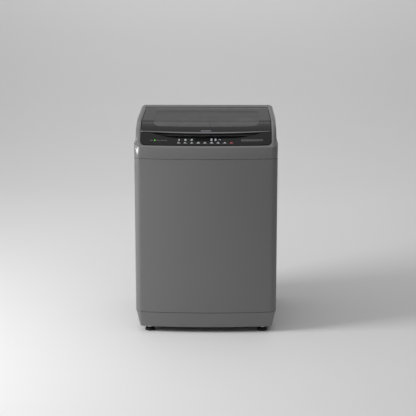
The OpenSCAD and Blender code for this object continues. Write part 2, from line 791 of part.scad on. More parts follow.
cabinet_shell();
rear_panel();
rear_panel_screws();
base_plinth();
bottom_guard();
top_cover();
inner_frame();
rear_deck();
control_panel();
display_lens();
control_board();
inlet_valve();
detergent_housing();
suspension_brackets();
suspension_rods();
suspension_springs();
pressure_switch();
run_capacitor();
lid_switch();
cord_gland();
drain_spigot();
lid_frame();
lid_glass();
lid_trim();
hinge_pins();
outer_tub();
tub_ring();
tub_base_plate();
tub_bolts();
shaft_seal();
gearbox_housing();
motor_housing();
motor_mounts();
drive_belt();
drain_valve();
damper_cups();
basket_wall();
balance_ring();
basket_base();
spin_shaft();
lint_filters();
pulsator();
pulsator_screw();
wash_shaft();
drive_pulley();
motor_rotor();
detergent_drawer();
key_cap(1);  // key_1
key_cap(2);  // key_2
key_cap(3);  // key_3
key_cap(4);  // key_4
key_cap(5);  // key_5
key_cap(6);  // key_6
key_cap(7);  // key_7
key_cap(8);  // key_8
key_cap(9);  // key_9
foot(-1, foot_front_y);  // foot_front_left
foot(1, foot_front_y);  // foot_front_right
foot(-1, foot_rear_y);  // foot_rear_left
foot(1, foot_rear_y);  // foot_rear_right
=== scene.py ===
"""Finished surfaces and materials of a top load washing machine, built around its packed model."""

import json
import math

import bmesh
import bpy
import numpy as np
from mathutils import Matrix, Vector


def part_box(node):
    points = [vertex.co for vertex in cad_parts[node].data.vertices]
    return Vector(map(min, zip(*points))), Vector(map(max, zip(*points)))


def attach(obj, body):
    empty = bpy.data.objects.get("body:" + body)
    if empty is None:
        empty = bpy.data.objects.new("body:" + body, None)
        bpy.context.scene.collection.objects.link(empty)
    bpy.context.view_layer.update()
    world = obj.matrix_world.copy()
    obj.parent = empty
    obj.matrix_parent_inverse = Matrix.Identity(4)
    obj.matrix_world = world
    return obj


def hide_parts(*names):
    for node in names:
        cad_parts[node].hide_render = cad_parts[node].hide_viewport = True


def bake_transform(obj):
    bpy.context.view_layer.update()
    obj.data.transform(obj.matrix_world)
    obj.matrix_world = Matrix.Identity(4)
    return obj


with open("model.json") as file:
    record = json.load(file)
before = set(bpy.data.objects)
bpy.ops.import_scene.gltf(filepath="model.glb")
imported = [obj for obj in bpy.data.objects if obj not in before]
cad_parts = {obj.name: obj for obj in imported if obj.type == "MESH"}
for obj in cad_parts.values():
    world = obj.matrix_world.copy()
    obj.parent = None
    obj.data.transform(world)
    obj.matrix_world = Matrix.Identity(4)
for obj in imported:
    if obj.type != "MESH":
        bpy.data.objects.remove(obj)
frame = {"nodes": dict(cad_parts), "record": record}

bl_info = {
    "name": "Top load washing machine",
    "version": (1, 0, 0),
    "blender": (4, 5, 0),
    "location": "3D View > Sidebar > Washer",
    "description": "Builds the finished surfaces, marks and materials of a top load washing machine",
    "category": "Add Mesh",
}

MM = 0.001
BODY_OF = {n: b for b, ns in frame["record"]["behaviour"]["bodies"].items() for n in ns}


def low(node):
    """Lowest corner of a node's box, in millimetres."""
    return np.array(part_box(node)[0]) / MM


def high(node):
    """Highest corner of a node's box, in millimetres."""
    return np.array(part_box(node)[1]) / MM


# ---- Sizes in millimetres, the first ones read from the packed model ----

HALF_W = high("cabinet_shell")[0]
FRONT_Y = low("cabinet_shell")[1]
BACK_Y = high("cabinet_shell")[1]
COVER_Z = low("top_cover")[2]
COVER_REAR = high("top_cover")[1]
TOP_Z = high("rear_deck")[2]
PANEL_Z = low("rear_deck")[2]
CENTRE_Y = -6.0

CORNER_R = 31.0
FRONT_BOW = 17.0
CORNER_X = HALF_W - CORNER_R
BOW_R = (CORNER_X**2 + FRONT_BOW**2) / (2 * FRONT_BOW)
BOW_Y = FRONT_Y + BOW_R
CORNER_Y = BOW_Y - math.sqrt((BOW_R - CORNER_R) ** 2 - CORNER_X**2)
BOW_A = math.degrees(math.atan2(CORNER_Y - BOW_Y, CORNER_X))

CURVE_R = 132.8
SLOPE = math.radians(0.65)
CURVE_Y = FRONT_Y + 142.0
PANEL_A = math.radians(160.2)
END_A = math.radians(90.65)
V_END = (PANEL_A - END_A) * CURVE_R

OPENING = 274.0
LID_HALF = 271.5
LID_T = 16.0
GLASS_T = 4.0
HINGE_Y = 192.0
FADE = 220.0
DECK_D = 30.0
MOUTH_R, MOUTH_FLAT = 200.0, 150.0
DRAWER_X = -55.0
VALVE_AT = (150.0, 845.0)
GLAND_AT = (-200.0, 690.0)
SPIGOT_AT = (-190.0, 150.0)


def top_z(y):
    """Height of the flat top at depth y: a straight line that falls by the slope towards the front."""
    return TOP_Z - (COVER_REAR - y) * math.tan(SLOPE)


CURVE_Z = top_z(CURVE_Y - CURVE_R * math.sin(SLOPE)) - CURVE_R * math.cos(SLOPE)
HINGE_Z = top_z(HINGE_Y) - LID_T / 2


# ---- Property groups ----


class WasherSizes(bpy.types.PropertyGroup):
    """Sizes of the finished surfaces that a user would change."""

    ledge: bpy.props.FloatProperty(
        name="Ledge", description="Width of the ledge between the cabinet and the crown of the top",
        default=0.005, min=0.0, unit="LENGTH")
    ledge_height: bpy.props.FloatProperty(
        name="Ledge height", description="Height of the ledge at the sides",
        default=0.821, unit="LENGTH")
    rail_roll: bpy.props.FloatProperty(
        name="Rail roll", description="Radius of the outer edge of the side rails",
        default=0.010, unit="LENGTH")
    panel_corner: bpy.props.FloatProperty(
        name="Panel corner", description="Radius of the lower corners of the control panel",
        default=0.018, unit="LENGTH")
    hem: bpy.props.FloatProperty(
        name="Hem", description="Rounding of the folded edges of the steel wrap",
        default=0.0008, unit="LENGTH")
    window_corner: bpy.props.FloatProperty(
        name="Window corner", description="Radius of the corners of the clear window in the lid",
        default=0.028, unit="LENGTH")
    mark_line: bpy.props.FloatProperty(
        name="Mark line", description="Width of the printed lines of the key marks",
        default=0.0011, unit="LENGTH")
    hole_r: bpy.props.FloatProperty(
        name="Basket hole", description="Radius of the holes in the basket wall",
        default=0.0022, unit="LENGTH")
    hole_rows: bpy.props.IntProperty(
        name="Hole rows", description="Rows of holes in the basket wall", default=14, min=2)
    holes_round: bpy.props.IntProperty(
        name="Holes round", description="Holes in each row round the basket", default=72, min=12)
    blades: bpy.props.IntProperty(
        name="Pulsator blades", description="Number of blades on the pulsator", default=6, min=2)


def colour(label, text, value):
    """A colour property with its default."""
    return bpy.props.FloatVectorProperty(
        name=label, description=text, default=value, size=3, subtype="COLOR", min=0.0, max=1.0)


class WasherColours(bpy.types.PropertyGroup):
    """Base colours of the finishes."""

    paint: colour("Paint", "Grey of the painted steel wrap", (0.144, 0.144, 0.146))
    cover: colour("Cover", "Grey of the moulded top cover and plinth", (0.140, 0.140, 0.142))
    gloss: colour("Gloss", "Black of the gloss control panel", (0.010, 0.010, 0.011))
    tint: colour("Tint", "Smoky tone of the window in the lid", (0.115, 0.115, 0.118))
    trim: colour("Trim", "Grey of the brushed trim strip", (0.20, 0.20, 0.21))
    pale: colour("Pale plastic", "Pale plastic of the tub and the drawer", (0.62, 0.63, 0.63))
    deck: colour("Inner frame", "Grey plastic of the inner frame", (0.30, 0.30, 0.305))
    steel: colour("Steel", "Stainless steel of the basket", (0.58, 0.59, 0.60))
    zinc: colour("Zinc", "Zinc coated sheet", (0.42, 0.43, 0.44))
    rubber: colour("Rubber", "Black rubber", (0.018, 0.018, 0.018))
    mark: colour("Marks", "Printed marks on the panel", (0.62, 0.63, 0.64))
    stop_mark: colour("Stop mark", "Mark of the last key", (0.75, 0.16, 0.17))
    floor: colour("Floor", "Pale studio floor", (0.80, 0.80, 0.80))


# ---- Curves and outlines ----


def smooth(t):
    """Cubic ease from 0 to 1: three t squared less two t cubed."""
    t = np.clip(t, 0.0, 1.0)
    return t * t * (3 - 2 * t)


def unit(a):
    """Unit vectors in a plane at angles a, in radians."""
    return np.stack([np.cos(a), np.sin(a)], -1)


def arc(cx, cy, rx, ry, a0, a1, n):
    """n + 1 points of an ellipse's arc about (cx, cy), angles in degrees."""
    a = np.radians(np.linspace(a0, a1, n + 1))
    return np.stack([cx + rx * np.cos(a), cy + ry * np.sin(a)], -1)


def corner_bend(p0, p1, p2, n):
    """n + 1 rows of the rational quadratic curve from p0 to p2 pulled to p1, which is a circle's quarter."""
    s = np.linspace(0, 1, n + 1).reshape((-1,) + (1,) * np.ndim(p1))
    w = math.sqrt(0.5)
    top = (1 - s) ** 2 * p0 + 2 * w * s * (1 - s) * p1 + s * s * p2
    return top / ((1 - s) ** 2 + 2 * w * s * (1 - s) + s * s)


def rounded(points, radii, n=4):
    """Closed outline whose corners are circular arcs: each is the rational quadratic curve between the two
    tangent points, whose middle weight is the sine of half the corner's angle."""
    p = np.asarray(points, float)
    radii = np.broadcast_to(np.asarray(radii, float), len(p))
    out = []
    s = np.linspace(0, 1, n + 1)[:, None]
    for here, before, after, r in zip(p, np.roll(p, 1, 0), np.roll(p, -1, 0), radii):
        a, b = before - here, after - here
        la, lb = np.linalg.norm(a), np.linalg.norm(b)
        a, b = a / la, b / lb
        half = math.acos(np.clip(a @ b, -1, 1)) / 2
        if r <= 0 or half > 1.55:
            out.append(here[None])
            continue
        t = min(r / math.tan(half), 0.49 * la, 0.49 * lb)
        w = math.sin(half)
        top = (1 - s) ** 2 * (here + a * t) + 2 * w * s * (1 - s) * here + s * s * (here + b * t)
        out.append(top / ((1 - s) ** 2 + 2 * w * s * (1 - s) + s * s))
    return np.concatenate(out)


def round_loop(x0, x1, y0, y1, r, nx=24, ny=24, nc=8):
    """Rounded rectangle as a closed loop with the same number of points for any size."""
    side = lambda a, b, n: a + (b - a) * np.linspace(0, 1, n, endpoint=False)[1:, None]
    pts = lambda x, y: np.array([x, y], float)
    return np.concatenate([
        arc(x1 - r, y0 + r, r, r, -90, 0, nc), side(pts(x1, y0 + r), pts(x1, y1 - r), ny),
        arc(x1 - r, y1 - r, r, r, 0, 90, nc), side(pts(x1 - r, y1), pts(x0 + r, y1), nx),
        arc(x0 + r, y1 - r, r, r, 90, 180, nc), side(pts(x0, y1 - r), pts(x0, y0 + r), ny),
        arc(x0 + r, y0 + r, r, r, 180, 270, nc), side(pts(x0 + r, y0), pts(x1 - r, y0), nx)])


def bow(x):
    """How far the front is set back at x: the sagitta of one large circle."""
    return BOW_R - np.sqrt(BOW_R**2 - np.minimum(np.abs(x), HALF_W) ** 2)


def bow_at(x, y):
    """How far the top is set back at (x, y): the bow, which fades out behind the arc."""
    return bow(x) * (1 - smooth((y - CURVE_Y) / FADE))


def skin(x, v, d=0.0):
    """Point of the top's skin. v runs along the side outline from the lower edge of the panel, first round an
    arc and then up a straight line; d goes in along the normal. The bow sets the arc back, and fades out."""
    x, v, d = np.broadcast_arrays(np.asarray(x, float), np.asarray(v, float), np.asarray(d, float))
    a = np.maximum(PANEL_A - v / CURVE_R, END_A)
    run = np.maximum(v - V_END, 0.0)
    y = CURVE_Y + (CURVE_R - d) * np.cos(a) + run * np.sin(a)
    z = CURVE_Z + (CURVE_R - d) * np.sin(a) - run * np.cos(a)
    return np.stack([x, y + bow(x) * (1 - smooth(run / FADE)), z], -1)


def skin_normal(x, v):
    """Outward normal of the skin, across the bow as well as along the side outline."""
    x, v = np.broadcast_arrays(np.asarray(x, float), np.asarray(v, float))
    a = np.maximum(PANEL_A - v / CURVE_R, END_A)
    lean = -(x / BOW_R) * np.cos(a)
    n = np.stack([lean, np.cos(a), np.sin(a)], -1)
    return n / np.linalg.norm(n, axis=-1, keepdims=True)


def v_at(y, d=0.0):
    """Where along the side outline the skin at depth d stands at y."""
    y = np.asarray(y, float)
    end_y = CURVE_Y + (CURVE_R - d) * math.cos(END_A)
    a = np.arccos(np.clip((y - CURVE_Y) / (CURVE_R - d), -1, 1))
    return np.where(y < end_y, (PANEL_A - a) * CURVE_R, V_END + (y - end_y) / math.sin(END_A))


V_LID = float((PANEL_A - math.radians(135.0)) * CURVE_R)
V_GLASS = float((PANEL_A - math.radians(130.8)) * CURVE_R)
V_SMILE = float((PANEL_A - math.radians(145.8)) * CURVE_R)
V_KEYS = float((PANEL_A - math.radians(154.3)) * CURVE_R)
V_DISPLAY = float((PANEL_A - math.radians(148.6)) * CURVE_R)


def lid_lift(x, v):
    """How much the lid's front edge rises towards its ends: a parabola across that fades out up the lid."""
    return 4.4 * (x / LID_HALF) ** 2 * np.clip(1 - (v - V_LID) / 90, 0, 1)


def lid_skin(x, v, d=0.0):
    """The skin with the lid's rising front edge."""
    return skin(x, v + lid_lift(x, v), d)


def cabinet_path(rear, rear_x, n_bow=56, n_corner=12, n_side=10, n_rear=8):
    """Plan outline of the cabinet from the rear left round the front to the rear right, with its normals."""
    rr = 20.0
    left = HALF_W - rr
    a_rear = np.radians(np.linspace(90, 180, n_rear + 1))
    a_front = np.radians(np.linspace(180, 180 - BOW_A, n_corner + 1))
    side_y = np.linspace(rear - rr, CORNER_Y, n_side + 1)[1:-1]
    pts = np.concatenate([
        [[-rear_x, rear]],
        np.stack([-left + rr * np.cos(a_rear), rear - rr + rr * np.sin(a_rear)], -1),
        np.stack([np.full_like(side_y, -HALF_W), side_y], -1),
        np.stack([-CORNER_X + CORNER_R * np.cos(a_front), CORNER_Y + CORNER_R * np.sin(a_front)], -1)])
    nor = np.concatenate([
        [[0, 1]], unit(a_rear), np.tile([-1.0, 0.0], (len(side_y), 1)), unit(a_front)])
    flip = np.array([-1.0, 1.0])
    a_bow = np.radians(np.linspace(-180 - BOW_A, BOW_A, n_bow + 1))[1:-1]
    round_front = unit(a_bow)
    return (np.concatenate([pts, [0, BOW_Y] + BOW_R * round_front, pts[::-1] * flip]),
            np.concatenate([nor, round_front, nor[::-1] * flip]))


# ---- Mesh building ----


def grid_quads(m, n, wrap_u=False, wrap_v=False):
    """The four point numbers of each quad in a grid of m by n points."""
    i = np.arange(m if wrap_u else m - 1)[:, None]
    j = np.arange(n if wrap_v else n - 1)[None, :]
    i1, j1 = (i + 1) % m, (j + 1) % n
    return np.stack([i * n + j, i1 * n + j, i1 * n + j1, i * n + j1], -1)


class Shape:
    """Collects closed surfaces, in millimetres, for one mesh."""

    def __init__(self):
        self.verts, self.faces, self.slots, self.count = [], [], [], 0

    def add_quads(self, points, quads):
        """Adds points and the quads between them just as they are."""
        self.faces += (quads.reshape(-1, 4) + self.count).tolist()
        self.verts.append(points.reshape(-1, 3))
        self.slots.append(np.zeros(quads.size // 4, int))
        self.count += points.size // 3

    def add(self, grid, wrap_u=False, wrap_v=True, cap="ngon", slot=0):
        """Adds a grid of points as quads. A grid that is open along u is shut with a face or with a pole at
        each end. The faces are turned outwards by the sign of the enclosed volume, which is the sum over
        their triangles of the triple product of the corners."""
        grid = np.asarray(grid, float)
        if cap == "pole" and not wrap_u:
            ends = grid[[0, -1]].mean(axis=1, keepdims=True) + np.zeros_like(grid[[0, -1]])
            grid = np.concatenate([ends[:1], grid, ends[1:]])
            if not np.isscalar(slot):
                slot = np.concatenate([slot[:1], slot, slot[-1:]])
        m, n = grid.shape[:2]
        quads = grid_quads(m, n, wrap_u, wrap_v)
        marks = np.broadcast_to(np.reshape(slot, (-1, 1)), quads.shape[:2])
        quads, marks = quads.reshape(-1, 4), marks.ravel()
        flat = grid.reshape(-1, 3)
        faces = [quads.tolist()]
        if cap == "ngon" and not wrap_u:
            faces.append([list(range(n)), list(range((m - 1) * n, m * n))[::-1]])
            marks = np.concatenate([marks, [marks[0], marks[-1]]])
        tri = np.concatenate([quads[:, [0, 1, 2]], quads[:, [0, 2, 3]]])
        if cap == "ngon" and not wrap_u:
            k = np.arange(1, n - 1)
            zero = np.zeros_like(k)
            tri = np.concatenate([tri, np.stack([zero, k, k + 1], -1),
                                  (m - 1) * n + np.stack([zero, k + 1, k], -1)])
        c = flat[tri] - flat.mean(0)
        volume = np.einsum("ij,ij->i", c[:, 0], np.cross(c[:, 1], c[:, 2])).sum()
        for group in faces:
            for f in group:
                self.faces.append([self.count + q for q in (f[::-1] if volume < 0 else f)])
        self.slots.append(marks)
        self.verts.append(flat)
        self.count += len(flat)
        return self

    def make(self, name, materials, crease=32.0, body=None, replaces=(), slot=None):
        """Writes the mesh in metres, merges the points that meet, and lets the piece ride on its body."""
        mesh = bpy.data.meshes.new(name)
        mesh.from_pydata((np.concatenate(self.verts) * MM).tolist(), [], self.faces)
        mesh.polygons.foreach_set("material_index", np.concatenate(self.slots).astype(np.int32))
        for m in materials:
            mesh.materials.append(MATERIALS[m])
        bm = bmesh.new()
        bm.from_mesh(mesh)
        bmesh.ops.remove_doubles(bm, verts=bm.verts, dist=2e-6)
        bmesh.ops.dissolve_degenerate(bm, edges=bm.edges, dist=1e-7)
        bm.to_mesh(mesh)
        bm.free()
        return place(mesh, name, crease, body, replaces)


def place(mesh, name, crease, body, replaces):
    """Smooth faces with sharp creases, the object, and what the frame needs to know about it."""
    mesh.polygons.foreach_set("use_smooth", np.ones(len(mesh.polygons), bool))
    mesh.set_sharp_from_angle(angle=math.radians(crease))
    mesh.update()
    piece = bpy.data.objects.new(name, mesh)
    bpy.context.scene.collection.objects.link(piece)
    if body:
        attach(piece, body)
    if replaces:
        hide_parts(*replaces)
    return piece


def sweep(section, pts, nor):
    """Carries a closed section of (inset, height) along a plan path; the inset is along the inward normal."""
    d, z = section[:, 0], section[:, 1]
    xy = pts[:, None] - nor[:, None] * d[None, :, None]
    return np.concatenate([xy, np.broadcast_to(z[None, :, None], xy.shape[:2] + (1,))], -1)


def turned(section, n=96, axis=(0.0, 0.0), along="z"):
    """Turns a section of (radius, height) about an axis. The rows run round, so the surface shuts itself."""
    a = np.radians(np.linspace(0, 360, n, endpoint=False))[:, None]
    r, h = section[None, :, 0], section[None, :, 1]
    x, y = r * np.cos(a), r * np.sin(a)
    h = np.broadcast_to(h, x.shape)
    if along == "z":
        return np.stack([x + axis[0], y + axis[1], h], -1)
    return np.stack([x + axis[0], h, y + axis[1]], -1)


def level_ring(x, y, r, a, z):
    """Ring about (x, y) at angles a and height z; its radius may differ from point to point."""
    return np.stack([x + r * np.cos(a), y + r * np.sin(a), np.broadcast_to(z, a.shape)], -1)


def upright_ring(at, r, a, y):
    """Ring about the axis along y through at = (x, z); its radius may differ from point to point."""
    return np.stack([at[0] + r * np.cos(a), np.broadcast_to(y, a.shape), at[1] + r * np.sin(a)], -1)


def turned_about(grid, angle, x=0.0, y=CENTRE_Y):
    """A grid turned about the upright axis through the origin, then moved to stand about (x, y)."""
    c, s = math.cos(angle), math.sin(angle)
    grid[..., :2] = grid[..., :2] @ np.array([[c, s], [-s, c]]) + [x, y]
    return grid


def block(x0, x1, y0, y1, z0, z1, r, edge=1.0, nx=2, ny=2, nc=4):
    """Rounded block: a rounded rectangle carried up, drawn in along a quarter circle at both ends."""
    q = np.radians(np.linspace(0, 90, 4))
    steps = [(edge * (1 - math.sin(t)), z0 + edge * (1 - math.cos(t))) for t in q]
    steps += [(edge * (1 - math.cos(t)), z1 - edge * (1 - math.sin(t))) for t in q]
    loops = [round_loop(x0 + i, x1 - i, y0 + i, y1 - i, max(r - i, 0.05), nx, ny, nc) for i, _ in steps]
    return np.stack([np.column_stack([lp, np.full(len(lp), z)]) for lp, (_, z) in zip(loops, steps)])


def round_hole(shape, r, y0, y1, at):
    """Adds a round cutter along y to a shape."""
    shape.add(turned(np.array([[0.0, y0], [r, y0], [r, y1], [0.0, y1]]), 48, at, "y"), wrap_u=True)
    return shape


def turn_outwards(mesh):
    """Turns the faces of each closed surface in a mesh to point outwards."""
    bm = bmesh.new()
    bm.from_mesh(mesh)
    bmesh.ops.recalc_face_normals(bm, faces=bm.faces)
    bm.to_mesh(mesh)
    bm.free()


def cut(piece, cutters):
    """Takes the closed surfaces in cutters out of a piece, and keeps the result as the piece's own mesh."""
    tool = cutters.make(piece.name + "_cutter", [])
    step = piece.modifiers.new("cut", "BOOLEAN")
    step.operation, step.solver, step.object = "DIFFERENCE", "EXACT", tool
    shown = bpy.context.evaluated_depsgraph_get()
    result = bpy.data.meshes.new_from_object(piece.evaluated_get(shown))
    piece.modifiers.clear()
    piece.data = result
    bpy.data.objects.remove(tool)
    turn_outwards(result)
    result.polygons.foreach_set("use_smooth", np.ones(len(result.polygons), bool))
    result.set_sharp_from_angle(angle=math.radians(30))
    return piece


# ---- Materials ----

MATERIALS = {}


def node(tree, kind, **values):
    """A new shader node with its properties and plain socket values set."""
    made = tree.nodes.new(kind)
    for key, value in values.items():
        if hasattr(made, key) and key not in made.inputs:
            setattr(made, key, value)
        else:
            made.inputs[key.replace("_", " ")].default_value = value
    return made


def noise(tree, where, scale, detail=3.0, rough=0.55):
    """Noise texture read at a place vector."""
    made = node(tree, "ShaderNodeTexNoise", Scale=scale, Detail=detail, Roughness=rough)
    tree.links.new(where, made.inputs["Vector"])
    return made.outputs["Fac"]


def span(tree, value, low_out, high_out, low_in=0.3, high_in=0.7):
    """Maps a value's usual range onto another range."""
    made = node(tree, "ShaderNodeMapRange")
    ends = {"From Min": low_in, "From Max": high_in, "To Min": low_out, "To Max": high_out}
    for name, number in ends.items():
        made.inputs[name].default_value = number
    tree.links.new(value, made.inputs["Value"])
    return made.outputs["Result"]


def finish(name, base, rough, metal=0.0, grain=(900.0, 0.08, 0.0004), vary=0.05, vary_scale=6.0, stretch=None,
           rough_vary=0.05, rough_scale=40.0, coat=0.0, coat_rough=0.05, cells=None, spec=0.5):
    """One finish: a base colour with a slow drift of shade, roughness that drifts too, and a fine grain in
    the bump. Stretch draws the grain out into brush lines; cells adds a flake or spangle pattern."""
    mat = bpy.data.materials.new(name)
    mat.use_nodes = True
    tree = mat.node_tree
    shader = tree.nodes["Principled BSDF"]
    shader.inputs["Metallic"].default_value = metal
    shader.inputs["Coat Weight"].default_value = coat
    shader.inputs["Coat Roughness"].default_value = coat_rough
    shader.inputs["Specular IOR Level"].default_value = spec
    spot = node(tree, "ShaderNodeTexCoord").outputs["Object"]
    if stretch:
        turn = node(tree, "ShaderNodeMapping")
        turn.inputs["Scale"].default_value = stretch
        tree.links.new(spot, turn.inputs["Vector"])
        fine_spot = turn.outputs["Vector"]
    else:
        fine_spot = spot
    shade = noise(tree, spot, vary_scale)
    mix = node(tree, "ShaderNodeMix", data_type="RGBA")
    dark = [c * (1 - vary) for c in base] + [1]
    light = [min(c * (1 + vary), 1) for c in base] + [1]
    tree.links.new(span(tree, shade, 0.0, 1.0), mix.inputs["Factor"])
    mix.inputs[6].default_value = dark
    mix.inputs[7].default_value = light
    colour_out = mix.outputs[2]
    height = noise(tree, fine_spot, grain[0], 4.0, 0.6)
    if cells:
        flake = node(tree, "ShaderNodeTexVoronoi", Scale=cells[0])
        tree.links.new(spot, flake.inputs["Vector"])
        tone = node(tree, "ShaderNodeMix", data_type="RGBA", blend_type="MULTIPLY")
        tone.inputs[0].default_value = cells[1]
        tree.links.new(colour_out, tone.inputs[6])
        grey = node(tree, "ShaderNodeRGBToBW")
        tree.links.new(flake.outputs["Color"], grey.inputs["Color"])
        tree.links.new(grey.outputs["Val"], tone.inputs[7])
        colour_out = tone.outputs[2]
    tree.links.new(colour_out, shader.inputs["Base Color"])
    tree.links.new(span(tree, noise(tree, fine_spot, rough_scale), max(rough - rough_vary, 0.01),
                        rough + rough_vary), shader.inputs["Roughness"])
    bump = node(tree, "ShaderNodeBump", Strength=grain[1], Distance=grain[2])
    tree.links.new(height, bump.inputs["Height"])
    tree.links.new(bump.outputs["Normal"], shader.inputs["Normal"])
    MATERIALS[name] = mat
    return mat


def glow(name, base, light, strength):
    """A printed mark that shines a little: the base finish with light from its own colour."""
    shader = finish(name, base, 0.4, vary=0.08, vary_scale=300.0).node_tree.nodes["Principled BSDF"]
    shader.inputs["Emission Color"].default_value = (*light, 1)
    shader.inputs["Emission Strength"].default_value = strength


def window_glass(name, tint):
    """Smoked glass: a clear see-through share and a share of a smooth smoky skin, whose tone drifts a little
    and which mirrors by its own Fresnel law. Fine wiping marks rough the mirror."""
    mat = finish(name, tint, 0.045, grain=(45.0, 0.012, 0.0003), rough_vary=0.02, vary=0.12, vary_scale=9.0)
    tree = mat.node_tree
    mix = node(tree, "ShaderNodeMixShader", Fac=0.52)
    through = node(tree, "ShaderNodeBsdfTransparent", Color=(0.93, 0.93, 0.94, 1))
    tree.links.new(through.outputs["BSDF"], mix.inputs[1])
    tree.links.new(tree.nodes["Principled BSDF"].outputs["BSDF"], mix.inputs[2])
    tree.links.new(mix.outputs["Shader"], tree.nodes["Material Output"].inputs["Surface"])


def make_materials():
    """Every finish of the machine."""
    c = bpy.context.scene.washer_colours
    finish("paint", c.paint, 0.40, grain=(700.0, 0.10, 0.0003), coat=0.25, coat_rough=0.22, vary=0.02,
           vary_scale=3.0, cells=(5200.0, 0.06))
    finish("cover", c.cover, 0.42, grain=(850.0, 0.06, 0.0002), coat=0.8, coat_rough=0.10, vary=0.02,
           vary_scale=4.0, cells=(5200.0, 0.06))
    finish("gloss_black", c.gloss, 0.09, grain=(60.0, 0.02, 0.0003), rough_vary=0.02, vary=0.15,
           spec=0.3)
    finish("border_print", (0.010, 0.010, 0.011), 0.07, grain=(45.0, 0.015, 0.0003), rough_vary=0.02,
           vary=0.2, vary_scale=20.0, spec=0.38)
    finish("satin_black", (0.020, 0.020, 0.021), 0.36, grain=(1300.0, 0.18, 0.0002), vary=0.1)
    window_glass("smoked_glass", c.tint)
    finish("lens", (0.004, 0.004, 0.005), 0.06, grain=(80.0, 0.02, 0.0002), rough_vary=0.02, spec=0.12)
    finish("trim", c.trim, 0.30, metal=0.85, grain=(420.0, 0.16, 0.0003), stretch=(0.02, 1.0, 1.0),
           rough_vary=0.06, vary=0.05, vary_scale=15.0)
    finish("pale_plastic", c.pale, 0.45, grain=(1100.0, 0.14, 0.0003), vary=0.03, spec=0.4)
    finish("tub_plastic", [v * 0.9 for v in c.pale], 0.5, grain=(500.0, 0.2, 0.0005), vary=0.05)
    finish("deck_plastic", c.deck, 0.42, grain=(1200.0, 0.16, 0.0003), vary=0.05)
    finish("drum_steel", c.steel, 0.24, metal=1.0, grain=(300.0, 0.10, 0.0003), stretch=(1.0, 1.0, 0.03),
           rough_vary=0.08, rough_scale=120.0, vary=0.05)
    finish("bright_steel", c.steel, 0.2, metal=1.0, grain=(900.0, 0.06, 0.0002), rough_vary=0.06, vary=0.06,
           vary_scale=40.0)
    finish("spring_steel", (0.34, 0.34, 0.35), 0.34, metal=1.0, grain=(1500.0, 0.15, 0.0002), vary=0.1,
           vary_scale=60.0)
    finish("zinc_sheet", c.zinc, 0.38, metal=0.9, grain=(260.0, 0.06, 0.0004), cells=(70.0, 0.16), vary=0.05,
           rough_vary=0.1)
    finish("cast_alloy", (0.36, 0.36, 0.37), 0.55, metal=0.8, grain=(650.0, 0.4, 0.0006), vary=0.08,
           vary_scale=25.0)
    finish("rubber", c.rubber, 0.7, grain=(1400.0, 0.25, 0.0003), vary=0.2, vary_scale=30.0, spec=0.3)
    finish("dark_plastic", (0.05, 0.05, 0.052), 0.5, grain=(1000.0, 0.2, 0.0003), vary=0.08)
    finish("board_green", (0.02, 0.13, 0.06), 0.35, grain=(700.0, 0.2, 0.0002), cells=(420.0, 0.45), vary=0.1,
           vary_scale=90.0, coat=0.6, coat_rough=0.1)
    finish("plate_metal", (0.10, 0.10, 0.105), 0.32, metal=0.6, grain=(500.0, 0.1, 0.0002),
           stretch=(0.03, 1.0, 1.0))
    finish("mark_dim", [v * 0.25 for v in c.mark], 0.5, grain=(900.0, 0.1, 0.0001), vary=0.1)
    # The printed marks glow a little: painted light on print that has no lamp behind it.
    glow("mark", c.mark, c.mark, 0.10)
    glow("mark_red", c.stop_mark, c.stop_mark, 0.12)
    glow("digits", (0.6, 0.62, 0.65), (0.8, 0.85, 0.9), 0.30)
    glow("lamp_green", (0.10, 0.45, 0.05), (0.20, 1.0, 0.08), 0.9)
    finish("floor", c.floor, 0.62, grain=(35.0, 0.03, 0.0006), vary=0.008, vary_scale=0.8, spec=0.2)


# ---- Cabinet ----


def ring_path(rear):
    """Closed plan outline with normals, for pieces that go all the way round."""
    pts, nor = cabinet_path(rear, HALF_W - 20.0 - 1.0)
    gap = np.linspace(HALF_W - 21.0, -(HALF_W - 21.0), 12)[1:-1]
    back = np.stack([gap, np.full_like(gap, rear)], -1)
    return np.concatenate([pts, back]), np.concatenate([nor, np.tile([0.0, 1.0], (len(gap), 1))])


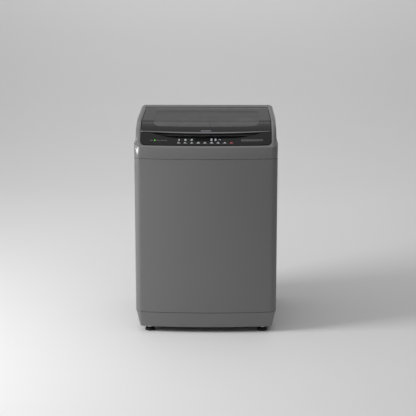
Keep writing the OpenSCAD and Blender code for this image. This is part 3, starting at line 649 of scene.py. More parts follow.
def build_cabinet():
    """Steel wrap: a sheet with folded hems carried round the plan outline, open at the back between returns.
    Plinth: a leaning wall carried all the way round, with foot plates and nut posts inside."""
    hem = bpy.context.scene.washer_sizes.hem / MM
    z0, z1 = low("cabinet_shell")[2], high("cabinet_shell")[2]
    heights = np.linspace(z0 + 10, z1 - 10, 9)
    outer = np.stack([np.zeros_like(heights), heights], -1)
    edge = rounded([[0, z0], [0, z1], [1.7, z1], [1.7, z1 - 14], [1.0, z1 - 16], [1.0, z0 + 16],
                    [1.7, z0 + 14], [1.7, z0]], [hem, hem, hem, 0.3, 0.3, 0.3, 0.3, hem], 4)
    section = np.concatenate([edge[:5], outer, edge[5:]])
    shell = Shape()
    shell.add(sweep(section, *cabinet_path(BACK_Y, HALF_W - 38.0)))
    shell.make("cabinet_wrap", ["paint"], body="cabinet", replaces=["cabinet_shell"], slot="body_paint")

    p0, p1 = low("base_plinth")[2], high("base_plinth")[2]
    lean = np.linspace(0.08, 0.9, 7)[:, None]
    lip = rounded([[1.5, p1], [17.0, p0], [19.6, p0], [19.4, p0 + 4], [5.2, p1 - 3], [14, p1 - 3], [14, p1]],
                  [1.2, 4.0, 0.8, 0.6, 0.5, 0.8, 0.8], 5)
    wall = np.array([1.5, p1]) + lean * np.array([15.5, p0 - p1])
    plinth = Shape()
    plinth.add(sweep(np.concatenate([lip[:6], wall, lip[6:]]), *ring_path(BACK_Y)), wrap_u=True)
    for sx in (-1, 1):
        for side in ("front", "rear"):
            foot = low(f"foot_{side}_right") + high(f"foot_{side}_right")
            x, y = sx * foot[0] / 2, foot[1] / 2
            plinth.add(block(x - 38, x + 38, y - 38, y + 38, 42, 48, 14, 1.0), cap="pole")
            post = rounded([[5.1, 34], [13, 34], [13, 56], [5.1, 56]], [0.3, 1, 1, 0.3], 3)
            plinth.add(turned(post, 36, (x, y)), wrap_u=True)
            for k in range(6):
                a = math.radians(30 + 60 * k)
                rib = block(-12, 12, -1.2, 1.2, 34.5, 43, 0.8, 0.4)
                plinth.add(turned_about(rib, a, x + 24 * math.cos(a), y + 24 * math.sin(a)), cap="pole")
    plinth.make("plinth", ["cover"], body="cabinet", replaces=["base_plinth"], slot="plinth_plastic")


# ---- Top cover ----


def crown_stations():
    """Stations round the top cover from the rear left to the rear right. For each: the wall's plan point and
    normal, the crown's outer edge, the opening's edge, and how far round to the front it is, from 0 to 1."""
    s = bpy.context.scene.washer_sizes
    ledge, corner = s.ledge / MM, s.panel_corner / MM
    n_rear, n_flat, n_curve, n_corner, n_front = 12, 22, 26, 18, 60
    rear = COVER_REAR
    a_rear = np.radians(np.linspace(90, 180, n_rear + 1))
    wall_rear = np.stack([-HALF_W + 20 + 20 * np.cos(a_rear), rear - 20 + 20 * np.sin(a_rear)], -1)
    wall_rear[0, 0] = -OPENING
    side = np.concatenate([np.linspace(rear - 20, CURVE_Y, n_flat + 1)[1:-1],
                           np.linspace(CURVE_Y, CORNER_Y, n_curve + 1)[:-1]])
    wall_side = np.stack([np.full_like(side, -HALF_W), side], -1)
    a_front = np.radians(np.linspace(180, 180 - BOW_A, n_corner + 1))
    u_front = unit(a_front)
    wall_corner = [-CORNER_X, CORNER_Y] + CORNER_R * u_front
    wall = np.concatenate([wall_rear, wall_side, wall_corner])
    nor = np.concatenate([unit(a_rear), np.tile([-1.0, 0.0], (len(side), 1)), u_front])
    front = np.concatenate([np.zeros(n_rear + 1 + len(side)), smooth(np.linspace(0, 1, n_corner + 1))])
    # The crown's outer edge: an ellipse at the rear corner, a slight waist at the curve, then the lean
    waist = lambda y: ledge - 2.4 + 3.8 * np.exp(-(((y + 175) / 70) ** 2)) + 1.6 * smooth((-y - 190) / 60)
    edge_rear = arc(-OPENING, rear - 38, HALF_W - OPENING - waist(rear), 34, 90, 180, n_rear)
    squeeze = (side - CURVE_Y) / (rear - 20 - CURVE_Y) * (rear - 38 - CURVE_Y) + CURVE_Y
    edge_y = np.where(side > CURVE_Y, squeeze, side)
    edge_side = np.stack([-HALF_W + waist(edge_y), edge_y], -1)
    inset = waist(CORNER_Y) + (8.0 - waist(CORNER_Y)) * smooth(np.linspace(0, 1, n_corner + 1))
    edge_corner = wall_corner - u_front * inset[:, None]
    edge = np.concatenate([edge_rear, edge_side, edge_corner])
    # The opening's edge, as (x, v) on the skin
    v_side = v_at(edge_y - bow_at(OPENING, edge_y))
    v_low = v_side[-1]
    v_turn = np.concatenate([np.linspace(v_low, corner, 7)[:-1], corner - corner * np.sin(
        np.radians(np.linspace(0, 90, n_corner - 5)))])
    x_turn = np.concatenate([np.full(6, -OPENING), -OPENING + corner - corner * np.cos(
        np.radians(np.linspace(0, 90, n_corner - 5)))])
    hole = np.concatenate([
        np.stack([np.full(n_rear + 1, -OPENING), v_at(edge_rear[:, 1])], -1),
        np.stack([np.full_like(v_side, -OPENING), v_side], -1), np.stack([x_turn, v_turn], -1)])
    flip = np.array([-1.0, 1.0])
    t = np.linspace(-1, 1, n_front + 1)[1:-1]
    x_hole = x_turn[-1]
    a_bow = np.radians(-90 + t * (90 + BOW_A))
    u_bow = unit(a_bow)
    wall_front = [0, BOW_Y] + BOW_R * u_bow
    join = lambda left, middle: np.concatenate([left, middle, left[::-1] * flip])
    return (join(wall, wall_front), join(nor, u_bow), join(edge, wall_front - 8.0 * u_bow),
            join(hole, np.stack([-x_hole * t, np.zeros_like(t)], -1)),
            np.concatenate([front, np.ones_like(t), front[::-1]]))


def crown_height(edge):
    """Height of the crown's outer edge: the side outline at that depth, run on down to the front bead."""
    y = edge[:, 1] - bow_at(edge[:, 0], edge[:, 1])
    lip_y, lip_z = FRONT_Y + 8.0, PANEL_Z - 7.0
    arc_y = CURVE_Y + CURVE_R * math.cos(PANEL_A)
    arc_z = CURVE_Z + CURVE_R * math.sin(PANEL_A)
    on_arc = CURVE_Z + np.sqrt(np.maximum(CURVE_R**2 - (np.minimum(y, CURVE_Y) - CURVE_Y) ** 2, 0))
    below = arc_z + (y - arc_y) * (arc_z - lip_z) / (arc_y - lip_y)
    return np.where(y > CURVE_Y - CURVE_R * math.sin(SLOPE), top_z(y), np.where(y < arc_y, below, on_arc))


def build_top_cover():
    """Top cover: one section carried round the stations. It goes up the leaning wall, in over the ledge, up
    the crown, over the rolled edge and the crest of the rail to the opening, down its inner wall, and back
    inside at the wall's thickness. The low rear wall and the rear deck are carried across."""
    s = bpy.context.scene.washer_sizes
    wall, nor, edge, hole, front = crown_stations()
    side_share = 1 - front
    z_edge = crown_height(edge)
    z_edge = np.where(front >= 1, PANEL_Z - 7.0, z_edge)
    ledge_rise = (s.ledge_height / MM - PANEL_Z + 7) * smooth(side_share * 1.15)
    ledge_z = np.where(side_share > 0, PANEL_Z - 7 + ledge_rise, PANEL_Z - 7)
    ledge_z = np.minimum(ledge_z, z_edge - 2.0 * side_share)
    inset = np.linalg.norm(wall - edge, axis=1)
    lean = 8.0 * np.clip(1.6 * front, 0, 1)
    flat3 = lambda xy, z: np.column_stack([xy, np.broadcast_to(z, len(xy))])
    row = lambda d, z: flat3(wall - nor * np.reshape(d, (-1, 1)) * np.ones((len(wall), 1)), z)
    opening = skin(hole[:, 0], hole[:, 1])
    down = -skin_normal(hole[:, 0], hole[:, 1])
    rows = [row(0.8, COVER_Z), row(0.25, COVER_Z + 0.25), row(0.0, COVER_Z + 0.9)]
    for t in np.linspace(0.06, 1.0, 14):
        z = COVER_Z + t * (ledge_z - 2.2 * side_share - 0.4 - COVER_Z)
        rows.append(row(lean * t * t, z))
    # Shoulder: rolls in to the foot of the crown; at the front it shrinks away
    roll = 2.2 * side_share + 0.4
    foot = flat3(edge, ledge_z)
    shoulder = row(lean, ledge_z)
    rows += list(corner_bend(row(lean, ledge_z - roll), shoulder, shoulder + (foot - shoulder) * 0.45, 4))
    rows += [shoulder + (foot - shoulder) * 0.8 - np.array([0, 0, 0.6]) * side_share[:, None]]
    rows += [foot + np.array([0, 0, 0.3]) * side_share[:, None]]
    # Crown's side, rolled edge and crest of the rail
    top = flat3(edge, z_edge)
    across = opening - top
    width = np.linalg.norm(across, axis=1, keepdims=True)
    reach = np.minimum((s.rail_roll / MM * side_share + 2.6 * front)[:, None], 0.6 * width)
    rise = np.minimum(reach, np.maximum((z_edge - ledge_z)[:, None] - 0.5, 0.3))
    up = np.array([0.0, 0.0, 1.0])
    inward = across / np.maximum(width, 1e-6)
    for t in (0.35, 0.7):
        rows.append(foot + (top - up * rise - foot) * t)
    rows += list(corner_bend(top - up * rise, top, top + inward * reach, 8))
    crest = -down * (0.9 * side_share + 0.5)[:, None]
    for t, lift in ((0.55, 0.9), (0.68, 1.0), (0.74, 0.7)):
        rows.append(top + across * np.maximum(t, reach / np.maximum(width, 1e-6)) + crest * lift)
    lip = np.minimum(1.3, 0.2 * width)
    rows += list(corner_bend(opening - inward * lip, opening, opening + down * 1.3, 5))
    # Inner wall, then back inside
    drop = (42.0 * side_share + 16.0 * front)[:, None]
    thick = 2.6
    outwards = -inward
    rows += [opening + down * (drop - 0.6), opening + down * drop + outwards * 0.6,
             opening + down * drop + outwards * (thick - 0.6),
             opening + down * (drop - 0.8) + outwards * thick,
             opening + down * (thick + 1.5) + outwards * thick]
    inner_top = top + np.minimum(4.0, 0.4 * width) * inward - up * 3.4
    rows += [inner_top]
    rows += [row(np.maximum(inset, lean) + 3.0, np.maximum(z_edge - 12, ledge_z - 1)),
             row(np.maximum(inset, lean) + 3.0, ledge_z - 3.0),
             row(lean * 0.6 + 3.0, ledge_z - 12.0), row(3.0, COVER_Z + 4.2), row(14.0, COVER_Z + 3.0),
             row(14.8, COVER_Z + 2.2), row(14.8, COVER_Z + 0.6), row(14.2, COVER_Z)]
    cover = Shape()
    grid = np.stack(rows, 1)
    grid[..., 2] = np.minimum(grid[..., 2], TOP_Z - 0.02)
    cover.add(grid)
    # Low rear wall between the rails
    rear = COVER_REAR
    low_wall = rounded([[rear, COVER_Z], [rear, PANEL_Z - 0.5], [rear - 3, PANEL_Z - 0.5],
                        [rear - 3, COVER_Z + 3], [rear - 15, COVER_Z + 3], [rear - 15, COVER_Z]],
                       [0.8, 0.4, 0.4, 1, 0.6, 0.6], 3)
    xs = np.linspace(-OPENING, OPENING, 15)
    cover.add(np.stack([np.tile(xs[:, None], (1, len(low_wall))),
                        np.tile(low_wall[:, 0], (15, 1)), np.tile(low_wall[:, 1], (15, 1))], -1))
    cover.make("top_cover_shell", ["cover"], body="cabinet", replaces=["top_cover"], slot="body_plastic",
               crease=40)

    y0 = low("rear_deck")[1]
    z0, z1 = top_z(y0), top_z(rear)
    outline = rounded([[y0, z0 - 18], [y0, z0], [rear, z1], [rear, PANEL_Z], [rear - 3, PANEL_Z],
                       [rear - 3, z1 - 10], [rear - 10, z1 - 3], [y0 + 3, z0 - 3], [y0 + 3, z0 - 18]],
                      [0.6, 2.0, 12.0, 0.6, 0.6, 6, 6, 1.0, 0.6], 6)
    xs = np.concatenate([[-OPENING + 0.9, -OPENING + 0.5], np.linspace(-OPENING + 0.3, OPENING - 0.3, 25),
                         [OPENING - 0.5, OPENING - 0.9]])
    pull = np.zeros(len(xs))
    pull[[0, -1]] = 0.6
    pull[[1, -2]] = 0.15
    inward = outline.mean(0) - outline
    inward /= np.linalg.norm(inward, axis=1)[:, None]
    shrink = outline[None] + inward[None] * pull[:, None, None]
    deck = Shape()
    deck.add(np.stack([np.tile(xs[:, None], (1, len(outline))), shrink[..., 0], shrink[..., 1]], -1))
    piece = deck.make("rear_deck_strip", ["paint"], body="cabinet", replaces=["rear_deck"],
                      slot="body_plastic")
    cut(piece, round_hole(Shape(), 14.4, rear - 9, rear + 9, VALVE_AT))


# ---- Control panel ----

KEYS = sorted(n for n in frame["nodes"] if n.startswith("key_"))
KEY_X = [float((low(k)[0] + high(k)[0]) / 2) for k in KEYS]
KEY_W, KEY_H = 19.0, 9.0
DISPLAY_X, DISPLAY_W, DISPLAY_H = 9.0, 114.0, 11.0


def smile(x):
    """Upper edge of the panel: a flat middle, then two large arcs that rise to meet the lid's edge."""
    rise = 340.0 - np.sqrt(340.0**2 - np.clip(np.abs(x) - 100.0, 0, 200) ** 2)
    return V_SMILE + rise


def panel_box(x, v, w, h, r, d0, d1):
    """Closed slab on the panel's skin: a rounded rectangle in (x, v) carried from depth d0 to depth d1."""
    loop = round_loop(x - w / 2, x + w / 2, v - h / 2, v + h / 2, r, 6, 4, 4)
    return np.stack([skin(loop[:, 0], loop[:, 1], d) for d in (d0, d1)])


def build_panel():
    """Panel: for each x, a section in the plane of (v, depth) with rounded edges: up the skin, in along the
    shelf of the hand recess, and back behind it. Keys and display are then cut out of it."""
    corner = bpy.context.scene.washer_sizes.panel_corner / MM - 0.6
    half = OPENING - 0.7
    bend = half - corner + corner * np.sin(np.radians(np.linspace(0, 90, 10)))
    xs = np.unique(np.concatenate([np.linspace(-half, half, 151), bend, -bend]))
    past = np.clip(np.abs(xs) - (half - corner), 0, corner)
    v0 = 0.7 + corner - np.sqrt(corner**2 - past**2)
    v1 = np.minimum(smile(xs), V_LID - 1.6 + lid_lift(xs, V_LID))
    quarter = np.radians(np.linspace(0, 90, 5))
    r0, r1, shelf, back_v = 0.7, 1.6, 26.0, V_LID + 4.0
    section = [(v0 + r0 * (1 - math.sin(a)), r0 * (1 - math.cos(a))) for a in quarter[::-1]]
    section += [(v0 + r0 + k * (v1 - r1 - v0 - r0), 0.0) for k in np.linspace(0, 1, 22)[1:-1]]
    section += [(v1 - r1 * (1 - math.sin(a)), r1 * (1 - math.cos(a))) for a in quarter]
    # The recess: in along its shelf, up its back wall, and down behind both
    section += [(v1 - 0.02 * d, d) for d in np.linspace(r1 + 3, shelf - 1, 4)]
    section += [(v1 + 1.0 + k * (back_v - v1 - 1.0), shelf) for k in (0.0, 0.15, 0.5, 0.85, 1.0)]
    section += [(np.full_like(xs, back_v), shelf + 2.4)]
    section += [(v1 + k * (back_v - v1), shelf + 2.4) for k in (0.8, 0.4, 0.1)]
    section += [(v1 - 2.2, shelf + 2.2), (v1 - 2.8, shelf - 1), (v1 - 2.8, 4.4), (v1 - 4.0, 3.0)]
    section += [(v0 + k * (v1 - 5.0 - v0), 3.0) for k in np.linspace(0.9, 0, 10)]
    v = np.maximum(np.stack([row for row, _ in section], 1), v0[:, None])
    d = np.broadcast_to([depth for _, depth in section], v.shape)
    panel = Shape()
    panel.add(skin(np.broadcast_to(xs[:, None], v.shape), v, d))
    piece = panel.make("control_fascia", ["gloss_black"], body="cabinet", replaces=["control_panel"],
                       slot="black_gloss", crease=40)
    holes = Shape()
    for x in KEY_X:
        holes.add(panel_box(x, V_KEYS, KEY_W + 0.7, KEY_H + 0.7, 2.3, -4, 6))
    holes.add(panel_box(DISPLAY_X, V_DISPLAY, DISPLAY_W + 0.3, DISPLAY_H + 0.3, 2.1, -4, 6))
    cut(piece, holes)

    lens = Shape()
    steps = [(0.7, 0.15), (0.25, 0.2), (0.1, 0.45), (0.1, 2.6), (0.4, 3.0)]
    lens.add(np.stack([panel_box(DISPLAY_X, V_DISPLAY, DISPLAY_W - 2 * i, DISPLAY_H - 2 * i, 2.0, d, d + 1)[0]
                       for i, d in steps]), cap="ngon")
    lens.make("display_window", ["lens"], body="cabinet", replaces=["display_lens"], slot="display_tint")


# ---- Printed marks ----


def stroke(shape, points, width, x0, v0, size, depth=-0.05):
    """A printed line on the panel: a flat ribbon of four edges carried along the points, which are given in a
    unit square about the mark's middle."""
    p = np.asarray(points, float) * size + [x0, v0]
    step = np.gradient(p, axis=0)
    step /= np.maximum(np.linalg.norm(step, axis=1, keepdims=True), 1e-9)
    side = np.stack([-step[:, 1], step[:, 0]], -1) * width / 2
    left, right = p + side, p - side
    ring = [(left, depth), (right, depth), (right, 0.3), (left, 0.3)]
    shape.add(np.stack([skin(q[:, 0], q[:, 1], d) for q, d in ring], 1))


def circle(cx=0.0, cy=0.0, r=0.5, a0=0.0, a1=360.0, n=20):
    """Arc of a circle in the mark's unit square."""
    return arc(cx, cy, r, r, a0, a1, n)


KEY_MARKS = [
    [circle(r=0.42, a0=60, a1=-240), [[0, 0.1], [0, 0.55]]],
    [[[-0.35, -0.4], [-0.35, 0.4], [0.4, 0.0], [-0.35, -0.4]]],
    [circle(0, -0.17, 0.31), [[-0.3, -0.02], [0, 0.4], [0.3, -0.02]]],
    [[[-0.5, -0.35], [-0.35, 0.3], [0.35, 0.3], [0.5, -0.35], [-0.5, -0.35]], [[-0.3, 0], [0.3, 0]]],
    [circle(r=0.45), circle(r=0.12)],
    [[[-0.5, 0.3], [0.5, 0.3]], [[-0.5, 0.0], [0.5, 0.0]], [[-0.5, -0.3], [0.5, -0.3]]],
    [circle(r=0.45), [[0, 0], [0, 0.3]], [[0, 0], [0.22, 0]]],
    [[[-0.45, -0.4], [-0.2, 0.4], [0.05, -0.4], [0.3, 0.4], [0.5, -0.2]]],
    [circle(r=0.45, a0=125, a1=415), [[0, 0.05], [0, 0.55]]],
]
SEGMENTS = [[[-0.5, 1], [0.5, 1]], [[-0.5, 0], [0.5, 0]], [[-0.5, -1], [0.5, -1]], [[-0.5, 0], [-0.5, 1]],
            [[0.5, 0], [0.5, 1]], [[-0.5, -1], [-0.5, 0]], [[0.5, -1], [0.5, 0]]]


def densify(points, n=9):
    """Adds points along straight lines so that a mark follows the curved panel."""
    p = np.asarray(points, float)
    t = np.linspace(0, len(p) - 1, (len(p) - 1) * (n if len(p) < 8 else 1) + 1)
    return np.stack([np.interp(t, np.arange(len(p)), p[:, k]) for k in range(2)], -1)


def build_keys():
    """Keys: a rounded rectangle on the skin, drawn in along a quarter circle at its edge and dished a little,
    with its printed mark. Each rides on its own body."""
    line = bpy.context.scene.washer_sizes.mark_line / MM
    for name, x, mark in zip(KEYS, KEY_X, KEY_MARKS):
        red = name == KEYS[-1]
        rows, q = [], np.radians(np.linspace(0, 90, 5))
        steps = [(0.0, 4.0)] + [(0.8 * (1 - math.cos(a)), 0.8 * (1 - math.sin(a)) + 0.05) for a in q]
        steps += [(2.0, 0.12), (3.4, 0.2)]
        for i, d in steps:
            loop = round_loop(x - KEY_W / 2 + i, x + KEY_W / 2 - i, V_KEYS - KEY_H / 2 + i,
                              V_KEYS + KEY_H / 2 - i, max(2 - i, 0.4), 6, 4, 4)
            rows.append(skin(loop[:, 0], loop[:, 1], d))
        cap = Shape()
        cap.add(np.stack(rows), cap="pole")
        shift = len(cap.faces)
        for points in mark:
            stroke(cap, densify(points) * [1.5, 1.0], line, x, V_KEYS + 1.2, 5.6, depth=0.08)
        for x0, x1 in ((-8.0, -3.4), (-2.4, 2.6), (3.6, 8.0)):
            stroke(cap, densify([[x0, 0], [x1, 0]]), 1.2, x, V_KEYS - 3.1, 1, depth=0.08)
        cap.slots = [np.concatenate(cap.slots)]
        cap.slots[0][shift:] = 1
        # The key marks use the glowing mark materials: painted light on printed marks.
        cap.make(f"{name}_cap", ["gloss_black", "mark_red" if red else "mark"], body=BODY_OF[name],
                 replaces=[name], slot="key_red" if red else "key_black")


def build_marks():
    """Marks on the panel and in the display: three small pictures, two digits, a dome, a lamp with plain
    dashes beside it, and a blank plate."""
    line = bpy.context.scene.washer_sizes.mark_line / MM
    white = Shape()
    for k, mark in zip((0, 1, 2), (KEY_MARKS[2], KEY_MARKS[4], KEY_MARKS[6])):
        for points in mark:
            stroke(white, densify(points), line * 1.15, -111.5 + 26.2 * k, V_DISPLAY - 0.6, 7.4)
    # The printed pictures use the glowing mark material: painted light on printed marks.
    white.make("panel_marks", ["mark"], body="cabinet", slot="black_gloss")
    dim = Shape()
    for x0, x1 in ((-234.0, -220.0), (-205.0, -192.0), (-189.0, -176.0), (-173.0, -162.0)):
        stroke(dim, densify([[x0, 0], [x1, 0]]), 1.6, 0, V_DISPLAY - 4.0, 1)
    dim.make("panel_dashes", ["mark_dim"], body="cabinet", slot="black_gloss")
    digits = Shape()
    for x in (23.1, 39.7):
        for seg in SEGMENTS:
            p = densify(seg) * [0.59, 0.475]
            p = p.mean(0) + (p - p.mean(0)) * 0.88
            stroke(digits, p, 1.35, x, V_DISPLAY, 8.6, depth=0.05)
    arcs = circle(r=0.5, a0=180, a1=0)
    stroke(digits, arcs, 1.0, 57.5, V_DISPLAY - 2.0, 8.5, depth=0.05)
    digits.make("display_digits", ["digits"], body="cabinet", slot="display_tint")
    lamp = Shape()
    a = np.radians(np.linspace(0, 90, 7))
    rows = []
    for t in a:
        loop = arc(-212.7, V_DISPLAY - 4.0, 2.1 * math.cos(t) + 0.02, 2.1 * math.cos(t) + 0.02, 0, 345, 23)
        rows.append(skin(loop[:, 0], loop[:, 1], 0.3 - 1.1 * math.sin(t)))
    lamp.add(np.stack(rows), cap="pole")
    lamp.make("ready_lamp", ["lamp_green"], body="cabinet", slot="display_tint")
    plate = Shape()
    rows = []
    for i, d in ((0, 0.3), (0, -0.25), (0.15, -0.4), (0.5, -0.5)):
        loop = round_loop(146 + i, 238 - i, V_DISPLAY - 8.5 + i, V_DISPLAY + 1.0 - i, 2.4, 24, 4, 5)
        rows.append(skin(loop[:, 0], loop[:, 1], d))
    plate.add(np.stack(rows), cap="ngon")
    plate.make("blank_plate", ["plate_metal"], body="cabinet", slot="trim_metal")


# ---- Lid ----

WINDOW = (-222.0, 222.0, float(v_at(-222.0)), float(v_at(106.0)))


def lid_loop(inset, corner=3.0):
    """Outline of the glass in (x, v), drawn in by inset."""
    v1 = float(v_at(HINGE_Y - 9.0))
    return round_loop(-LID_HALF + inset, LID_HALF - inset, V_GLASS - 2.9 + inset, v1 - inset,
                      max(corner - inset, 0.3), 48, 56, 8)


def window_loop(grow=0.0):
    """Outline of the window in (x, v)."""
    r = bpy.context.scene.washer_sizes.window_corner / MM
    return round_loop(WINDOW[0] - grow, WINDOW[1] + grow, WINDOW[2] - grow, WINDOW[3] + grow, r, 48, 56, 8)


def build_lid():
    """Glass: rings from the middle of the window out to its edge, on to the ground edge of the glass, round
    it and back underneath. Frame: rings round the window, shut on themselves, with the hinge barrel. Trim: a
    crowned strip carried across, thinner at its ends, with a lip to pull on."""
    middle = np.array([0.0, (WINDOW[2] + WINDOW[3]) / 2])
    win, edge_r = window_loop(), 1.3
    border = lid_loop(edge_r) - win
    quarter = np.radians(np.linspace(0, 90, 5))
    # Each row: a loop, its depth, and 1 where the band that starts there is clear glass
    rows = [(middle + (win - middle) * t, 0.0, t < 1) for t in np.linspace(0.02, 1, 34)]
    rows += [(win + border * t, 0.0, 0) for t in np.linspace(0, 1, 10)[1:]]
    rows += [(lid_loop(edge_r * (1 - math.sin(a))), edge_r * (1 - math.cos(a)), 0) for a in quarter[1:]]
    rows += [(lid_loop(edge_r * (1 - math.cos(a))), GLASS_T - edge_r * (1 - math.sin(a)), 0)
             for a in quarter]
    rows += [(win + border * t, GLASS_T, t == 0) for t in np.linspace(1, 0, 10)[1:]]
    rows += [(middle + (win - middle) * t, GLASS_T, 1) for t in np.linspace(1, 0.02, 34)[1:]]
    glass = Shape()
    glass.add(np.stack([lid_skin(lp[:, 0], lp[:, 1], d) for lp, d, _ in rows]), cap="pole",
              slot=np.array([clear for _, _, clear in rows[:-1]], int))
    glass.make("lid_pane", ["border_print", "smoked_glass"], body="lid", replaces=["lid_glass"],
               slot="smoked_glass", crease=40)

    badge = Shape()
    rows = []
    for i, d in ((0, 0.4), (0, -0.5), (0.2, -0.75), (0.6, -0.85)):
        loop = round_loop(-21.6 + i, 21.6 - i, V_GLASS - 1.6 + i, V_GLASS + 4.2 - i, 1.6, 16, 3, 5)
        rows.append(lid_skin(loop[:, 0], loop[:, 1], d))
    badge.add(np.stack(rows))
    badge.make("blank_badge", ["trim"], body="lid", slot="trim_metal")

    def frame_loop(inset):
        return round_loop(-LID_HALF + inset, LID_HALF - inset, V_LID + 3.2 + inset,
                          float(v_at(HINGE_Y)) - inset, 4.0, 48, 56, 8)

    d0, d1 = GLASS_T + 0.4, LID_T
    rings = [(window_loop(3.0), d0 + 0.6), (window_loop(3.8), d0)]
    rings += [(window_loop(4) + (frame_loop(1.2) - window_loop(4)) * t, d0) for t in np.linspace(0.1, 1, 8)]
    rings += [(frame_loop(0.3), d0 + 0.3), (frame_loop(0.0), d0 + 1.2), (frame_loop(0.0), d1 - 2.0),
              (frame_loop(0.6), d1 - 0.6), (frame_loop(2.0), d1)]
    rings += [(window_loop(4) + (frame_loop(2.0) - window_loop(4)) * t, d1)
              for t in np.linspace(0.9, 0.12, 7)]
    rings += [(window_loop(4.0), d1), (window_loop(3.2), d1 - 0.6), (window_loop(3.0), d1 - 2)]
    lid = Shape()
    lid.add(np.stack([lid_skin(lp[:, 0], lp[:, 1], d) for lp, d in rings]), wrap_u=True)
    barrel_r = LID_T / 2
    xs = np.concatenate([-LID_HALF + 1.5 * (1 - np.sin(np.radians(np.linspace(0, 90, 5)))),
                         LID_HALF - 1.5 * (1 - np.sin(np.radians(np.linspace(90, 0, 5))))])
    rs = np.concatenate([barrel_r - 1.5 * (1 - np.cos(np.radians(np.linspace(0, 90, 5)))[::-1]),
                         barrel_r - 1.5 * (1 - np.cos(np.radians(np.linspace(0, 90, 5))))])
    xs, rs = np.sort(xs), np.minimum(rs, barrel_r)
    a = np.radians(np.linspace(0, 360, 40, endpoint=False))
    lid.add(np.stack([np.stack([np.full_like(a, x), HINGE_Y + r * np.cos(a), HINGE_Z + r * np.sin(a)], -1)
                      for x, r in zip(xs, rs)]), cap="pole")
    lid.make("lid_carrier", ["satin_black"], body="lid", replaces=["lid_frame"], slot="frame_plastic",
             crease=40)

    half = LID_HALF - 0.4
    xs = np.concatenate([half * np.sin(np.radians(np.linspace(-90, -86, 5))),
                         np.linspace(-0.985, 0.985, 71) * half,
                         half * np.sin(np.radians(np.linspace(86, 90, 5)))])
    end = np.sqrt(np.clip(1 - np.clip((np.abs(xs) - (half - 3.0)) / 3.0, 0, 1) ** 2, 0.0025, 1))
    v_top = V_GLASS - 3.2
    v_low = V_LID - 0.9 + 2.6 * (xs / half) ** 2
    mid = (v_top + v_low) / 2
    outline = rounded([[-1, 3.6], [-1, 0.4], [0, -0.9], [1, 0.4], [1, 3.6]], [0.2, 0.35, 1.0, 0.35, 0.2], 5)
    tall = (v_top - v_low) / 2
    v = mid[:, None] + outline[None, :, 0] * (tall * end)[:, None]
    d = 0.25 + outline[None, :, 1] * end[:, None] + (1 - end[:, None]) * 1.5
    trim = Shape()
    trim.add(lid_skin(np.broadcast_to(xs[:, None], v.shape), v, d), cap="pole")
    # The lip to pull on is satin black plastic, and its black also stands in for the shade inside the hand
    # recess under the trim: partly its own colour, partly painted shade.
    lip = rounded([[0, 3.0], [2.2, 3.0], [2.2, 12.0], [0, 12.0]], [0.4, 0.3, 0.8, 0.8], 4)
    xs2 = np.linspace(-half + 4, half - 4, 61)
    low_v = V_LID - 0.9 + 2.6 * (xs2 / half) ** 2
    trim.add(lid_skin(np.broadcast_to(xs2[:, None], (61, len(lip))), low_v[:, None] + lip[None, :, 0],
                      np.broadcast_to(lip[None, :, 1], (61, len(lip)))), slot=1)
    trim.make("lid_trim_strip", ["trim", "satin_black"], body="lid", replaces=["lid_trim"],
              slot="trim_metal", crease=35)


# ---- Inner frame and drawer ----


def mouth(phi, r, flat_y):
    """Radius of the mouth at angle phi: a circle cut by a straight side, with the corner eased by a power
    mean of the two distances."""
    straight = (flat_y - CENTRE_Y) / np.maximum(np.sin(phi), 1e-3)
    straight = np.where(np.sin(phi) > 0.2, straight, 1e4)
    return (r**-26.0 + straight**-26.0) ** (-1 / 26.0)


def build_inner_frame():
    """Inner deck and mouth: rings from the outer edge of the deck in to the mouth, over its rounded rim, down
    the funnel, and back outside it at the wall's thickness."""
    v0, v1 = 6.0, float(v_at(COVER_REAR - 4.0, DECK_D))
    outer = round_loop(-OPENING + 0.5, OPENING - 0.5, v0, v1, 6.0, 40, 40, 6)
    outer_xyz = skin(outer[:, 0], outer[:, 1], DECK_D)
    phi = np.arctan2(outer_xyz[:, 1] - CENTRE_Y, outer_xyz[:, 0])

    def ring(grow):
        rad = mouth(phi, MOUTH_R + grow, MOUTH_FLAT + grow)
        return np.stack([rad * np.cos(phi), CENTRE_Y + rad * np.sin(phi)], -1)

    def on_deck(loop, d):
        return skin(loop[:, 0], v_at(loop[:, 1] - bow_at(loop[:, 0], loop[:, 1]), d), d)

    def funnel(grow, z):
        return np.column_stack([ring(grow), np.broadcast_to(z, len(phi))])

    rim, wall = 8.0, 3.0
    near = ring(rim)
    rows = [outer_xyz]
    for t in np.linspace(0, 1, 16)[1:]:
        rows.append(on_deck(outer_xyz[:, :2] + (near - outer_xyz[:, :2]) * t, DECK_D))
    edge_xyz = on_deck(ring(0.0), DECK_D)
    lower = edge_xyz - [0, 0, rim]
    rows += list(corner_bend(rows[-1], edge_xyz, lower, 6))[1:]
    mouth_z = low("inner_frame")[2]
    rows += [funnel(0.0, lower[:, 2] + (mouth_z + 2 - lower[:, 2]) * t) for t in (0.3, 0.6, 0.9)]
    rows += [funnel(grow, mouth_z + z) for grow, z in ((0.0, 1.2), (0.8, 0.0), (2.4, 0.0), (wall, 1.0))]
    rows.append(funnel(wall, on_deck(ring(wall), DECK_D + wall)[:, 2] - 4.0))
    back = ring(7.0)
    rows.append(on_deck(back, DECK_D + wall))
    for t in np.linspace(0.3, 1, 8)[:-1]:
        rows.append(on_deck(back + (outer_xyz[:, :2] - back) * t, DECK_D + wall))
    rows.append(skin(outer[:, 0], outer[:, 1], DECK_D + wall))
    shell = Shape()
    shell.add(np.stack(rows), wrap_u=True)
    piece = shell.make("inner_deck", ["deck_plastic"], body="cabinet", replaces=["inner_frame"],
                       slot="dark_plastic", crease=40)
    slot_box = Shape()
    slot_box.add(block(DRAWER_X - 62.5, DRAWER_X + 62.5, 140, 162, 802.5, 861.0, 3.0, 0.5), cap="pole")
    cut(piece, slot_box)


